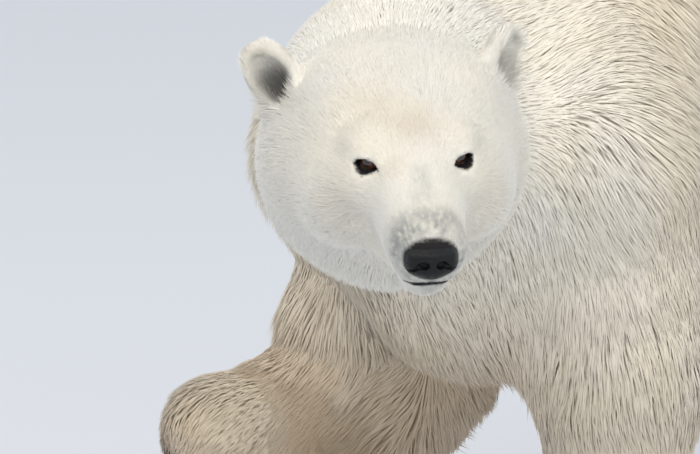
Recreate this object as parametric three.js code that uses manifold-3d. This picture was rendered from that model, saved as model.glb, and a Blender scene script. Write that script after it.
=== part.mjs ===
/**
 * Polar bear, a still life-size model caught in mid-stride: the right forefoot is lifted with its
 * wrist bent, the other three feet stand flat, and the head is turned to the animal's left.
 *
 * Millimetres, +Z up. The bear faces -Y, so its left side is +X, and the finished group stands on
 * z = 0 with the middle of its bounding box over the origin.
 *
 * The outside runs through the tips of the coat. It is described by fields: functions of a point
 * that are negative inside the animal, zero on its outline and positive outside. Muscles and limbs
 * are limbs (tapered capsules) and ellipsoids that melt into each other. Each region of the field
 * is meshed with cells of its own size and then parted from its neighbours by thin flat cuts.
 */
import * as THREE from 'three';
import { mergeVertices } from 'three/addons/utils/BufferGeometryUtils.js';
import Module from 'manifold-3d';

const wasm = await Module();
wasm.setup();

// ---------------------------------------------------------------- driving dimensions

const SEAM = 0.3; // gap between neighbouring solids
const WELD = 0.16; // corners closer than this are one corner
const REACH = 4000; // side of the blocks that make flat cuts, larger than the animal
const FLOOR_SINK = 9; // how far the soles would reach under the floor before they are cut flat

// How softly the regions melt into each other.
const MELT = { trunk: 90, limbs: 65, leg: 40, head: 34, face: 20, toes: 16, skull: 70 };

// Cells of the mesh: fine where the shape is fine.
const CELL = {
  trunk: 88, neck: 70, head: 24.5, upperLeg: 64, lowerLeg: 58, foot: 37, tail: 36, ear: 14, nose: 10,
};

// Head: the eyes' midpoint in the body's frame, and how the head is turned, in degrees.
const HEAD = { eyes: [355, -1045, 806], turnLeft: 52.5, noseDown: 11, tiltRight: 2 };

const EYE = { apart: 108, radius: 12.5, deep: 1, height: 0, socket: 22 };

// Each ear has a base on the head, a lean outwards and a twist of its opening, in degrees.
const EARS = {
  right: { side: -1, base: [-122, 178, 14], lean: 32, leanBack: 0, twist: 14 },
  left: { side: 1, base: [112, 180, 10], lean: 20, leanBack: 4, twist: 56 },
};
const EAR = { width: 34, thickness: 22, length: 48, rise: 34, cup: [24, 19, 35], cupAt: [0, -17, 38] };

const NOSE = { at: [0, -146, -64], width: 31, depth: 19, height: 25, nostril: 9, nostrilApart: 19 };

const FORE_PAW = { toes: 5, toeStep: 37, toeReach: 140, toeArc: 9, toeRadius: 31, claw: 46 };
const HIND_PAW = { toes: 5, toeStep: 32, toeReach: 172, toeArc: 7, toeRadius: 28, claw: 36 };
const CLAW = { radius: 7.5, tip: 1.6, curl: 52, sides: 6, rings: 3 };

// Legs: joints in the body's frame with the thickness of the limb there, from the top down.
const LEGS = {
  foreleg_left: {
    side: 1,
    fore: true,
    blade: { at: [112, -400, 925], radius: 112 },
    top: { at: [165, -545, 722], radius: 150 },
    middle: { at: [190, -514, 472], radius: 120 },
    ankle: { at: [182, -492, 132], radius: 76 },
    fringe: { at: [192, -462, 440], radii: [70, 90, 110] },
    foot: { toeIn: 9, pitch: 0 },
  },
  foreleg_right: {
    side: -1,
    fore: true,
    blade: { at: [-112, -420, 925], radius: 112 },
    top: { at: [-174, -575, 692], radius: 148 },
    middle: { at: [-200, -470, 405], radius: 112 },
    ankle: { at: [-226, -800, 345], radius: 66 },
    fringe: { at: [-205, -520, 330], radii: [72, 150, 85] },
    front: { at: [-206, -600, 462], radii: [82, 88, 100] },
    foot: { toeIn: 6, pitch: 70 },
  },
  hindleg_left: {
    side: 1,
    fore: false,
    blade: { at: [105, 500, 730], radius: 138 },
    top: { at: [100, 392, 745], radius: 180 },
    middle: { at: [186, 275, 440], radius: 120 },
    ankle: { at: [172, 520, 142], radius: 80 },
    hamstring: { from: [128, 492, 650], to: [172, 478, 255], radii: [136, 76] },
    foot: { toeIn: 7, pitch: 0 },
  },
  hindleg_right: {
    side: -1,
    fore: false,
    blade: { at: [-105, 500, 740], radius: 138 },
    top: { at: [-100, 380, 745], radius: 180 },
    middle: { at: [-192, 150, 455], radius: 120 },
    ankle: { at: [-176, 318, 142], radius: 80 },
    hamstring: { from: [-128, 440, 650], to: [-176, 290, 262], radii: [140, 78] },
    foot: { toeIn: 7, pitch: 0 },
  },
};

// Finishes: the cream coat, and the black horn, skin and eyes.
const FINISH = {
  coat: { color: 0xd8d2c0, roughness: 0.9, metalness: 0 },
  eye: { color: 0x241a18, roughness: 0.1, metalness: 0 },
  nose: { color: 0x17181b, roughness: 0.45, metalness: 0 },
  claw: { color: 0x2a2521, roughness: 0.4, metalness: 0 },
};

// ---------------------------------------------------------------- small vector helpers

const vector = (point) => new THREE.Vector3(...point);
const radians = THREE.MathUtils.degToRad;
const between = (from, to) => vector(to).sub(vector(from)).normalize();

/** A point written in a turned frame, in the frame outside it. */
const carried = (matrix, point) => vector(point).applyMatrix4(matrix).toArray();

// ---------------------------------------------------------------- fields

/** A tapered capsule from one point to another; `stretch` widens it along x, y and z. */
function limb(from, to, fromRadius, toRadius, stretch = [1, 1, 1]) {
  const [ax, ay, az] = from.map((value, i) => value / stretch[i]);
  const [bx, by, bz] = to.map((value, i) => value / stretch[i]);
  const [dx, dy, dz] = [bx - ax, by - ay, bz - az];
  const lengthSquared = dx * dx + dy * dy + dz * dz;
  return (x, y, z) => {
    const [px, py, pz] = [x / stretch[0] - ax, y / stretch[1] - ay, z / stretch[2] - az];
    const along = Math.min(1, Math.max(0, (px * dx + py * dy + pz * dz) / lengthSquared));
    const gap = Math.hypot(px - dx * along, py - dy * along, pz - dz * along);
    return gap - (fromRadius + (toRadius - fromRadius) * along);
  };
}

/** An ellipsoid with half-axes `radii`, turned by `tilt` degrees about its side-to-side axis. */
function ellipsoid(centre, radii, tilt = 0) {
  const [cosine, sine] = [Math.cos(radians(tilt)), Math.sin(radians(tilt))];
  return (x, y, z) => {
    const [px, qy, qz] = [x - centre[0], y - centre[1], z - centre[2]];
    const [py, pz] = [qy * cosine + qz * sine, qz * cosine - qy * sine];
    const near = Math.hypot(px / radii[0], py / radii[1], pz / radii[2]);
    const steep = Math.hypot(px / radii[0] ** 2, py / radii[1] ** 2, pz / radii[2] ** 2);
    return near === 0 ? -Math.min(...radii) : (near * (near - 1)) / steep;
  };
}

/** Several fields melted into one. */
function melt(softness, ...fields) {
  return (x, y, z) => {
    let near = fields[0](x, y, z);
    for (const field of fields.slice(1)) {
      const next = field(x, y, z);
      const share = Math.max(softness - Math.abs(near - next), 0) / softness;
      near = Math.min(near, next) - (share * share * softness) / 4;
    }
    return near;
  };
}

/** A field with a hollow pressed into it. */
function hollowed(softness, field, hollow) {
  return (x, y, z) => {
    const [outer, inner] = [field(x, y, z), -hollow(x, y, z)];
    const share = Math.max(softness - Math.abs(outer - inner), 0) / softness;
    return Math.max(outer, inner) + (share * share * softness) / 4;
  };
}

/** The same field on both sides of the plane x = 0. */
const bothSides = (field) => (x, y, z) => field(Math.abs(x), y, z);

/** A field written in a turned frame, moved to where that frame lies. */
function placed(matrix, field) {
  const back = matrix.clone().invert().elements;
  return (x, y, z) => field(
    back[0] * x + back[4] * y + back[8] * z + back[12],
    back[1] * x + back[5] * y + back[9] * z + back[13],
    back[2] * x + back[6] * y + back[10] * z + back[14],
  );
}

// ---------------------------------------------------------------- solids

/** A closed mesh as a solid that can be cut and joined. */
function solidOf(geometry) {
  const bare = new THREE.BufferGeometry();
  bare.setAttribute('position', geometry.getAttribute('position').clone());
  bare.setIndex(geometry.getIndex());
  const merged = mergeVertices(bare, 1e-3);
  return new wasm.Manifold(new wasm.Mesh({
    numProp: 3,
    vertProperties: new Float32Array(merged.getAttribute('position').array),
    triVerts: new Uint32Array(merged.getIndex().array),
  }));
}

/** A solid as the geometry of a mesh; corners closer than `WELD` become one, as cuts leave such pairs. */
function geometryOf(solid) {
  const { vertProperties, triVerts } = solid.getMesh();
  const corners = [];
  const cornerOf = [];
  for (let i = 0; i < vertProperties.length; i += 3) {
    const point = vector(vertProperties.slice(i, i + 3));
    const near = corners.findIndex((corner) => corner.distanceTo(point) < WELD);
    cornerOf.push(near < 0 ? corners.push(point) - 1 : near);
  }
  const faces = [];
  for (let i = 0; i < triVerts.length; i += 3) {
    const face = [0, 1, 2].map((step) => cornerOf[triVerts[i + step]]);
    if (new Set(face).size === 3) faces.push(...face);
  }
  const geometry = new THREE.BufferGeometry().setFromPoints(corners);
  geometry.setIndex(faces);
  geometry.computeVertexNormals();
  return geometry;
}

/** Everything beyond a flat cut, on the side that `normal` points to, `gap` away from it. */
function beyond(point, normal, gap) {
  const towards = vector(normal).normalize();
  const block = new THREE.BoxGeometry(REACH, REACH, REACH);
  block.applyQuaternion(new THREE.Quaternion().setFromUnitVectors(new THREE.Vector3(0, 0, 1), towards));
  const centre = vector(point).addScaledVector(towards, REACH / 2 + gap);
  return solidOf(block.translate(...centre.toArray()));
}

const CUBE_EDGES = [0, 1, 2].flatMap((axis) => {
  const [u, v] = [1 << ((axis + 1) % 3), 1 << ((axis + 2) % 3)];
  return [0, u, v, u | v].map((corner) => [corner, corner | (1 << axis)]);
});

/** Slides a point along the field's slope until it lies on the outline. */
function settle(field, point, cell) {
  const step = cell * 0.05;
  for (let round = 0; round < 4; round += 1) {
    const value = field(...point);
    const slope = [0, 1, 2].map((axis) => {
      const [ahead, behind] = [[...point], [...point]];
      ahead[axis] += step;
      behind[axis] -= step;
      return (field(...ahead) - field(...behind)) / (2 * step);
    });
    const steepness = slope[0] ** 2 + slope[1] ** 2 + slope[2] ** 2;
    if (steepness < 1e-6) return;
    const move = Math.max(-cell / 3, Math.min(cell / 3, value / Math.sqrt(steepness))) / Math.sqrt(steepness);
    slope.forEach((part, axis) => { point[axis] -= part * move; });
  }
}

/**
 * Meshes a field inside a box: one vertex in each cell that the outline passes through, and one
 * four-sided face across each cell edge that it crosses. The box's own faces close the mesh.
 */
function meshed(field, low, high, cell) {
  const count = low.map((value, axis) => Math.ceil((high[axis] - value) / cell) + 1);
  const start = low.map((value, axis) => (value + high[axis] - (count[axis] - 1) * cell) / 2);
  const stride = [1, count[0], count[0] * count[1]];
  const values = new Float32Array(count[0] * count[1] * count[2]);
  const at = (i, j, k) => i + j * stride[1] + k * stride[2];
  const rim = (place) => place.some((value, axis) => value === 0 || value === count[axis] - 1);
  for (let k = 0; k < count[2]; k += 1) {
    for (let j = 0; j < count[1]; j += 1) {
      for (let i = 0; i < count[0]; i += 1) {
        const value = field(start[0] + i * cell, start[1] + j * cell, start[2] + k * cell);
        values[at(i, j, k)] = rim([i, j, k]) ? Math.max(value, cell / 2) : value;
      }
    }
  }
  const vertices = [];
  const vertexOf = new Int32Array(values.length).fill(-1);
  for (let k = 0; k < count[2] - 1; k += 1) {
    for (let j = 0; j < count[1] - 1; j += 1) {
      for (let i = 0; i < count[0] - 1; i += 1) {
        const sum = [0, 0, 0];
        let crossings = 0;
        for (const [from, to] of CUBE_EDGES) {
          const [a, b] = [from, to].map((corner) => [corner & 1, (corner >> 1) & 1, corner >> 2]);
          const [va, vb] = [a, b].map((c) => values[at(i + c[0], j + c[1], k + c[2])]);
          if (va < 0 === vb < 0) continue;
          const share = va / (va - vb);
          a.forEach((value, axis) => { sum[axis] += value + (b[axis] - value) * share; });
          crossings += 1;
        }
        if (crossings === 0) continue;
        const point = [i, j, k].map((value, axis) => start[axis] + (value + sum[axis] / crossings) * cell);
        const inner = [i, j, k].every((value, axis) => value > 0 && value < count[axis] - 2);
        if (inner) settle(field, point, cell);
        vertexOf[at(i, j, k)] = vertices.length / 3;
        vertices.push(...point);
      }
    }
  }
  const faces = [];
  const apart = (a, b) => Math.hypot(...[0, 1, 2].map((axis) => vertices[3 * a + axis] - vertices[3 * b + axis]));
  for (let k = 0; k < count[2] - 1; k += 1) {
    for (let j = 0; j < count[1] - 1; j += 1) {
      for (let i = 0; i < count[0] - 1; i += 1) {
        for (let axis = 0; axis < 3; axis += 1) {
          const here = at(i, j, k);
          const inside = values[here] < 0;
          if (inside === values[here + stride[axis]] < 0) continue;
          const [u, v] = [stride[(axis + 1) % 3], stride[(axis + 2) % 3]];
          const ring = [here, here - u, here - u - v, here - v].map((corner) => vertexOf[corner]);
          if (!inside) ring.reverse();
          const [a, b, c, d] = ring;
          faces.push(...(apart(a, c) < apart(b, d) ? [a, b, c, a, c, d] : [a, b, d, b, c, d]));
        }
      }
    }
  }
  const geometry = new THREE.BufferGeometry();
  geometry.setAttribute('position', new THREE.Float32BufferAttribute(vertices, 3));
  geometry.setIndex(faces);
  return solidOf(geometry);
}

/** The low and high corners of a box around some balls given as { at, radius }. */
function boxAround(balls, margin) {
  const corner = (sign) => [0, 1, 2].map((axis) => (
    sign * Math.max(...balls.map((ball) => sign * ball.at[axis] + ball.radius)) + sign * margin
  ));
  return [corner(-1), corner(1)];
}

// ---------------------------------------------------------------- head

/** The head's own frame: origin between the eyes, -Y to the nose, +X to the animal's left. */
const headFrame = new THREE.Matrix4().makeRotationFromEuler(
  new THREE.Euler(radians(HEAD.noseDown), radians(-HEAD.tiltRight), radians(HEAD.turnLeft), 'ZXY'),
).setPosition(...HEAD.eyes);

/** The skull, cheeks, brows, muzzle and jaw, in the head's frame. */
function headField() {
  const skull = ellipsoid([0, 140, -34], [120, 178, 96], -3);
  const temple = ellipsoid([58, 150, 8], [60, 96, 52]);
  const cheek = ellipsoid([66, 92, -66], [66, 104, 68]);
  const ruff = ellipsoid([76, 172, -66], [80, 96, 98]);
  const brow = ellipsoid([44, 22, 8], [32, 40, 24]);
  const cheekbone = ellipsoid([54, 36, -36], [36, 56, 34]);
  const muzzle = limb([0, -2, -38], [0, -113, -66], 59, 43, [1.02, 1, 0.98]);
  const jaw = limb([0, 60, -94], [0, -88, -104], 54, 27, [1.04, 1, 1]);
  const cranium = melt(MELT.head, skull, bothSides(temple), bothSides(cheek), bothSides(ruff));
  return melt(MELT.face, melt(MELT.head, cranium, muzzle, jaw), bothSides(brow), bothSides(cheekbone));
}

/** The nose pad with its two nostrils, in the head's frame. */
function noseField() {
  const [, y, z] = NOSE.at;
  const pad = melt(12,
    ellipsoid(NOSE.at, [NOSE.width, NOSE.depth, NOSE.height - 5]),
    ellipsoid([0, y + 4, z - 10], [NOSE.width * 0.62, NOSE.depth * 0.9, NOSE.height - 6]));
  const nostril = ellipsoid([NOSE.nostrilApart / 2 + 3, y - NOSE.depth, z - 1],
    [NOSE.nostril * 0.7, NOSE.nostril, NOSE.nostril * 0.75]);
  return hollowed(3, pad, bothSides(nostril));
}

/** An ear in its own frame: base at the origin, +Z to the tip, opening towards -Y. */
function earField() {
  const shell = melt(14,
    ellipsoid([0, 0, EAR.rise], [EAR.width, EAR.thickness, EAR.length]),
    ellipsoid([0, 6, 0], [EAR.width * 0.9, EAR.thickness * 1.15, EAR.length * 0.7]));
  return hollowed(6, shell, ellipsoid(EAR.cupAt, EAR.cup, -6));
}

function earFrame({ side, base, lean, leanBack, twist }) {
  const turn = new THREE.Euler(radians(-leanBack), radians(side * lean), radians(side * twist), 'XYZ');
  const inHead = new THREE.Matrix4().makeRotationFromEuler(turn).setPosition(...base);
  return headFrame.clone().multiply(inHead);
}

// ---------------------------------------------------------------- neck, trunk and tail

const NECK = {
  headEnd: { at: [0, 205, -90], radius: 134 },
  trunkEnd: { at: [0, -455, 750], radius: 196 },
  headPull: 170,
  trunkPull: 210,
  steps: 6,
};

/** The middle line of the neck, from the back of the head to between the shoulder blades. */
const neckLine = (() => {
  const start = vector(carried(headFrame, NECK.headEnd.at));
  const back = vector([0, 1, 0]).transformDirection(headFrame);
  const end = vector(NECK.trunkEnd.at);
  return new THREE.CubicBezierCurve3(
    start,
    start.clone().addScaledVector(back, NECK.headPull),
    end.clone().add(new THREE.Vector3(0, -NECK.trunkPull, 0)),
    end,
  );
})();

function neckField() {
  const at = (step) => neckLine.getPoint(step / NECK.steps).toArray();
  const radius = (step) => THREE.MathUtils.lerp(NECK.headEnd.radius, NECK.trunkEnd.radius, step / NECK.steps);
  const lengths = Array.from({ length: NECK.steps }, (_, step) => (
    limb(at(step), at(step + 1), radius(step), radius(step + 1), [1, 1, 1.12])
  ));
  return melt(30, ...lengths);
}

function trunkField() {
  return melt(MELT.trunk,
    ellipsoid([0, -300, 752], [262, 390, 292]), // rib cage
    ellipsoid([0, 60, 735], [278, 420, 278]), // belly and loin
    ellipsoid([0, 355, 800], [248, 290, 268]), // croup
    ellipsoid([0, -400, 930], [130, 190, 132]), // withers
    ellipsoid([0, -590, 640], [182, 150, 190]), // breast
    ellipsoid([0, -470, 520], [150, 190, 105])); // brisket
}

const tailField = limb([0, 600, 880], [0, 676, 726], 48, 40);

// ---------------------------------------------------------------- legs and feet

/** The frame of a foot: origin in the wrist or hock, -Y along the toes, +Z out of its back. */
function footFrame(leg) {
  const { toeIn, pitch } = leg.foot;
  const turn = new THREE.Euler(radians(pitch), 0, radians(-leg.side * toeIn), 'ZXY');
  return new THREE.Matrix4().makeRotationFromEuler(turn).setPosition(...leg.ankle.at);
}

/** Depth of the sole under the wrist or hock, which is the same for standing and lifted feet. */
const soleDepth = (leg) => (leg.fore ? LEGS.foreleg_left : LEGS.hindleg_left).ankle.at[2] + FLOOR_SINK;

/** The root and tip of each toe in the foot's frame, in a shallow arc. */
function toesOf(leg) {
  const paw = leg.fore ? FORE_PAW : HIND_PAW;
  return Array.from({ length: paw.toes }, (_, index) => {
    const place = index - (paw.toes - 1) / 2;
    const depth = -soleDepth(leg) + FLOOR_SINK + paw.toeRadius - 2;
    const tip = [place * paw.toeStep, -paw.toeReach + paw.toeArc * place * place, depth];
    const root = [place * paw.toeStep * 0.7, tip[1] + paw.toeReach * 0.45, depth + 12];
    return { root, tip, radius: paw.toeRadius };
  });
}

function footField(leg) {
  const floor = -soleDepth(leg);
  const toes = toesOf(leg).map(({ root, tip, radius }) => limb(root, tip, radius * 1.05, radius));
  const sole = leg.fore
    ? [
      limb([0, 4, 0], [0, -30, floor + 70], leg.ankle.radius, 70),
      ellipsoid([0, -66, floor + 56], [94, 84, 54]),
    ]
    : [
      limb([0, 0, 0], [0, 18, floor + 66], leg.ankle.radius, 66),
      limb([0, 22, floor + 58], [0, -108, floor + 52], 60, 50, [1.35, 1, 1]),
    ];
  return placed(footFrame(leg), melt(MELT.toes, melt(MELT.leg, ...sole), ...toes));
}

function legField(leg) {
  const { blade, top, middle, ankle, fringe, front, hamstring } = leg;
  return melt(MELT.leg,
    limb(blade.at, top.at, blade.radius, top.radius),
    limb(top.at, middle.at, top.radius, middle.radius),
    limb(middle.at, ankle.at, middle.radius * 0.93, ankle.radius),
    ...(fringe ? [ellipsoid(fringe.at, fringe.radii)] : []),
    ...(front ? [ellipsoid(front.at, front.radii)] : []),
    ...(hamstring ? [limb(hamstring.from, hamstring.to, ...hamstring.radii)] : []),
    footField(leg));
}

/** The horn of a claw: a cone of rings that curls down along an arc, point first, in the foot's frame. */
function clawGeometry(length) {
  const arc = radians(CLAW.curl);
  const bend = length / arc;
  const points = [];
  for (let ring = 0; ring < CLAW.rings; ring += 1) {
    const share = ring / (CLAW.rings - 1);
    const angle = arc * share;
    const radius = THREE.MathUtils.lerp(CLAW.radius, CLAW.tip, share ** 1.3);
    const [along, drop] = [-Math.sin(angle) * bend, (Math.cos(angle) - 1) * bend];
    for (let side = 0; side < CLAW.sides; side += 1) {
      const turn = (2 * Math.PI * side) / CLAW.sides;
      const [across, out] = [Math.cos(turn) * radius * 0.8, Math.sin(turn) * radius];
      points.push(across, along - Math.sin(angle) * out, drop + Math.cos(angle) * out);
    }
  }
  const faces = [];
  for (let ring = 0; ring < CLAW.rings - 1; ring += 1) {
    for (let side = 0; side < CLAW.sides; side += 1) {
      const [a, b] = [ring * CLAW.sides + side, ring * CLAW.sides + ((side + 1) % CLAW.sides)];
      faces.push(a, b, a + CLAW.sides, b, b + CLAW.sides, a + CLAW.sides);
    }
  }
  const last = (CLAW.rings - 1) * CLAW.sides;
  for (let side = 1; side < CLAW.sides - 1; side += 1) {
    faces.push(0, side + 1, side, last, last + side, last + side + 1);
  }
  const geometry = new THREE.BufferGeometry();
  geometry.setAttribute('position', new THREE.Float32BufferAttribute(points, 3));
  geometry.setIndex(faces);
  return geometry;
}

// ---------------------------------------------------------------- the whole outline

const legs = Object.entries(LEGS).map(([name, leg]) => ({ name, ...leg }));

const outline = melt(MELT.skull,
  melt(MELT.limbs, melt(MELT.trunk, trunkField(), neckField()), ...legs.map(legField)),
  placed(headFrame, headField()));
const outlineWithTail = melt(30, outline, tailField);

// ---------------------------------------------------------------- parting cuts

/** A flat cut through two points, running on along `across`; `side` is a point on its far side. */
function cutThrough(from, to, across, side) {
  const normal = vector(to).sub(vector(from)).cross(vector(across)).normalize();
  if (normal.dot(vector(side).sub(vector(from))) < 0) normal.negate();
  return { point: from, normal: normal.toArray() };
}

/** The cut square to a bend between three points, facing the last one. */
function cutAtBend(before, bend, after) {
  return { point: bend, normal: between(before, bend).add(between(bend, after)).toArray() };
}

/** The part of a solid beyond every one of some cuts. */
const beyondAll = (solid, cuts) => cuts.reduce(
  (rest, cut) => rest.intersect(beyond(cut.point, cut.normal, SEAM / 2)), solid,
);

/** The same cut, seen from its other side. */
const facingBack = ({ point, normal }) => ({ point, normal: normal.map((part) => -part) });

/** A solid without the room beyond all of some cuts. */
function without(solid, cuts) {
  const room = cuts.map((cut) => beyond(cut.point, cut.normal, -SEAM / 2));
  return solid.subtract(room.reduce((shared, next) => shared.intersect(next)));
}

const cutBehindHead = {
  point: carried(headFrame, [0, 222, -30]),
  normal: vector([0, 1, -0.12]).transformDirection(headFrame).toArray(),
};
const cutAtShoulders = cutThrough([0, -520, 1040], [0, -790, 660], [1, 0, 0], [0, 0, 700]);
const cutAtTail = { point: [0, 650, 800], normal: [0, 1, -0.05] };

/** The two cuts that part a leg from the trunk: one along its inside, one across the flank. */
function legCuts(leg) {
  const { side } = leg;
  if (leg.fore) {
    return [
      cutThrough([side * 62, 0, 400], [side * 330, 0, 800], [0, 1, 0], [side * 400, 0, 400]),
      cutThrough([0, -330, 400], [0, -370, 800], [1, 0, 0], [0, -900, 400]),
    ];
  }
  const knee = leg.middle.at[1];
  return [
    cutThrough([side * 22, 0, 470], [side * 290, 0, 900], [0, 1, 0], [side * 400, 0, 400]),
    cutThrough([0, knee - 165, 400], [0, knee + 150, 850], [1, 0, 0], [0, 900, 400]),
  ];
}

// ---------------------------------------------------------------- the model

const bear = new THREE.Group();
const model = new THREE.Group();
bear.add(model);

function add(name, solid, finish) {
  const mesh = new THREE.Mesh(geometryOf(solid), new THREE.MeshStandardMaterial(FINISH[finish]));
  mesh.name = name;
  model.add(mesh);
  return mesh;
}

/** Trunk and tail, without the four legs. */
function addTrunk() {
  const whole = meshed(outline, [-420, -860, 340], [420, 720, 1180], CELL.trunk);
  const trunk = legs.reduce((rest, leg) => without(rest, legCuts(leg)), beyondAll(whole, [cutAtShoulders]));
  const tail = meshed(outlineWithTail, [-120, 480, 640], [120, 760, 960], CELL.tail);
  add('trunk', beyondAll(trunk, [facingBack(cutAtTail)]), 'coat');
  add('tail', beyondAll(tail, [cutAtTail]), 'coat');
}

function addNeck() {
  const line = [0, 0.5, 1].map((share) => ({ at: neckLine.getPoint(share).toArray(), radius: 260 }));
  const neck = meshed(outline, ...boxAround(line, CELL.neck), CELL.neck);
  add('neck', beyondAll(neck, [cutBehindHead, facingBack(cutAtShoulders)]), 'coat');
}

/** Head with eyes, nose and ears; each is let into the head and drawn out by the seam. */
function addHead() {
  const middle = { at: carried(headFrame, [0, 60, -30]), radius: 290 };
  const uncut = meshed(outline, ...boxAround([middle], CELL.head), CELL.head);
  let head = beyondAll(uncut, [facingBack(cutBehindHead)]);
  for (const [name, ear] of Object.entries(EARS)) {
    const frame = earFrame(ear);
    const shell = meshed(earField(), [-60, -50, -45], [60, 50, 95], CELL.ear).transform(frame.elements);
    const outwards = vector([0, 0, SEAM * 1.6]).transformDirection(frame).multiplyScalar(SEAM * 1.6);
    add(`ear_${name}`, shell.subtract(head).translate(outwards.toArray()), 'coat');
  }
  const pad = meshed(noseField(), [-45, -185, -105], [45, -110, -30], CELL.nose).transform(headFrame.elements);
  const forwards = vector([0, -1, 0]).transformDirection(headFrame).multiplyScalar(SEAM * 1.6);
  add('nose', pad.subtract(head).translate(forwards.toArray()), 'nose');
  for (const side of [-1, 1]) {
    const centre = carried(headFrame, [(side * EYE.apart) / 2, EYE.deep, EYE.height]);
    const outwards = vector([side * 0.5, -0.86, 0]).transformDirection(headFrame);
    const dish = vector(centre).addScaledVector(outwards, EYE.socket * 0.62);
    const ball = (radius, at) => solidOf(new THREE.SphereGeometry(radius, 10, 8).translate(...at));
    head = head.subtract(ball(EYE.socket, dish.toArray())).subtract(ball(EYE.radius + SEAM, centre));
    add(side > 0 ? 'eye_left' : 'eye_right', ball(EYE.radius, centre), 'eye');
  }
  add('head', head, 'coat');
}

function addLeg(leg) {
  const { name, fore, blade, top, middle, ankle } = leg;
  const toes = footFrame(leg);
  const toeEnd = { at: carried(toes, [0, -150, -soleDepth(leg) + 40]), radius: 120 };
  const around = fore ? [...legCuts(leg), cutAtShoulders] : legCuts(leg);
  const bend = cutAtBend(top.at, middle.at, ankle.at);
  const wrist = cutAtBend(middle.at, ankle.at, carried(toes, [0, -100, 0]));
  const floor = { point: [0, 0, 0], normal: [0, 0, 1] };
  const names = fore ? ['upper', 'lower', 'paw'] : ['thigh', 'shank', 'paw'];
  const room = { at: top.at, radius: 260 };

  const upper = meshed(outline, ...boxAround([blade, room, middle], CELL.upperLeg), CELL.upperLeg);
  const lower = meshed(outline, ...boxAround([middle, ankle], CELL.lowerLeg * 2), CELL.lowerLeg);
  const paw = meshed(outline, ...boxAround([ankle, toeEnd], CELL.foot), CELL.foot);
  add(`${name}_${names[0]}`, beyondAll(upper, [...around, facingBack(bend)]), 'coat');
  add(`${name}_${names[1]}`, beyondAll(lower, [...around, bend, facingBack(wrist)]), 'coat');
  add(`${name}_${names[2]}`, beyondAll(paw, [wrist, floor]), 'coat');

  toesOf(leg).forEach(({ tip, radius }, index) => {
    const length = (fore ? FORE_PAW : HIND_PAW).claw;
    const inFoot = new THREE.Matrix4().makeTranslation(tip[0], tip[1] - radius * 0.55, tip[2] + radius * 0.35);
    const frame = toes.clone().multiply(inFoot);
    const horn = solidOf(clawGeometry(length).applyMatrix4(frame));
    const forwards = vector([0, -1, 0]).transformDirection(frame).multiplyScalar(SEAM * 1.6);
    add(`${name}_claw_${index + 1}`, horn.subtract(paw).translate(forwards.toArray()), 'claw');
  });
}

addTrunk();
addNeck();
addHead();
legs.forEach(addLeg);

// Stand the whole on the floor with the middle of its bounding box over the origin.
const box = new THREE.Box3().setFromObject(model);
const middle = box.getCenter(new THREE.Vector3());
model.position.set(-middle.x, -middle.y, -box.min.z);

export default bear;
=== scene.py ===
"""Polar bear, still and life size, caught in mid-stride with its right forefoot lifted.

One skin is grown over the whole animal from melted limbs and ellipsoids, lying inside the solids by
the coat's depth. The coat is solid locks of hair, combed over the skin area by area. Eyes, nose,
claws and the pads of the feet are pieces of their own.
"""
import logging
import math
from dataclasses import dataclass, field, replace
from enum import Enum

import bpy
import numpy as np
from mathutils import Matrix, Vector, kdtree


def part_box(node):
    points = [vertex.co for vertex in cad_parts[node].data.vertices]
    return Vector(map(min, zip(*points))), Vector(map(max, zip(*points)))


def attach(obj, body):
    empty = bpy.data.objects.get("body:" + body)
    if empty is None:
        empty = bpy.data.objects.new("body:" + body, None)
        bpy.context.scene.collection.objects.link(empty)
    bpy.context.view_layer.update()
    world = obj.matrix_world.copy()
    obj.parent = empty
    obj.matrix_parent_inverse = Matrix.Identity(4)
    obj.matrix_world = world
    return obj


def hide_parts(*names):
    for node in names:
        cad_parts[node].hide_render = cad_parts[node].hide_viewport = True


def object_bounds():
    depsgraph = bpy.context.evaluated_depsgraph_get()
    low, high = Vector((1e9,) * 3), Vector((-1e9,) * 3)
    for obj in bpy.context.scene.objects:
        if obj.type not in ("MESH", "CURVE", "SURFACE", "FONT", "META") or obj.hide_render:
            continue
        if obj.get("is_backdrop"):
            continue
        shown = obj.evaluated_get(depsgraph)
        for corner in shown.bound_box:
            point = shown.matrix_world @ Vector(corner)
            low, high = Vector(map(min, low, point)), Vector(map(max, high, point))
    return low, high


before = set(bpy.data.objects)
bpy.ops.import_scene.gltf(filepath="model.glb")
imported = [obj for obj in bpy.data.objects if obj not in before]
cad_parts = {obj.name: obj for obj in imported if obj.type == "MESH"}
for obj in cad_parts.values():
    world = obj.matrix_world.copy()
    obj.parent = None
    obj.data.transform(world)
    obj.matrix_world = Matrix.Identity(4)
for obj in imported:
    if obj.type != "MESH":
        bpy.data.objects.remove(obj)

LOG = logging.getLogger("polar_bear")
BODY = "root"
MM = 0.001
SEED = 1914

Array = np.ndarray
Point = tuple[float, float, float]
Grid = tuple[Array, Array, Array]


# ------------------------ small maths


def unit(vectors: Array) -> Array:
    """Vectors scaled to length one, along the last axis."""
    return vectors / np.maximum(np.linalg.norm(vectors, axis=-1, keepdims=True), 1e-9)


def smooth(value: Array, low: float, high: float) -> Array:
    """A soft step from 0 at `low` to 1 at `high`."""
    share = np.clip((value - low) / (high - low), 0.0, 1.0)
    return share * share * (3.0 - 2.0 * share)


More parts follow.
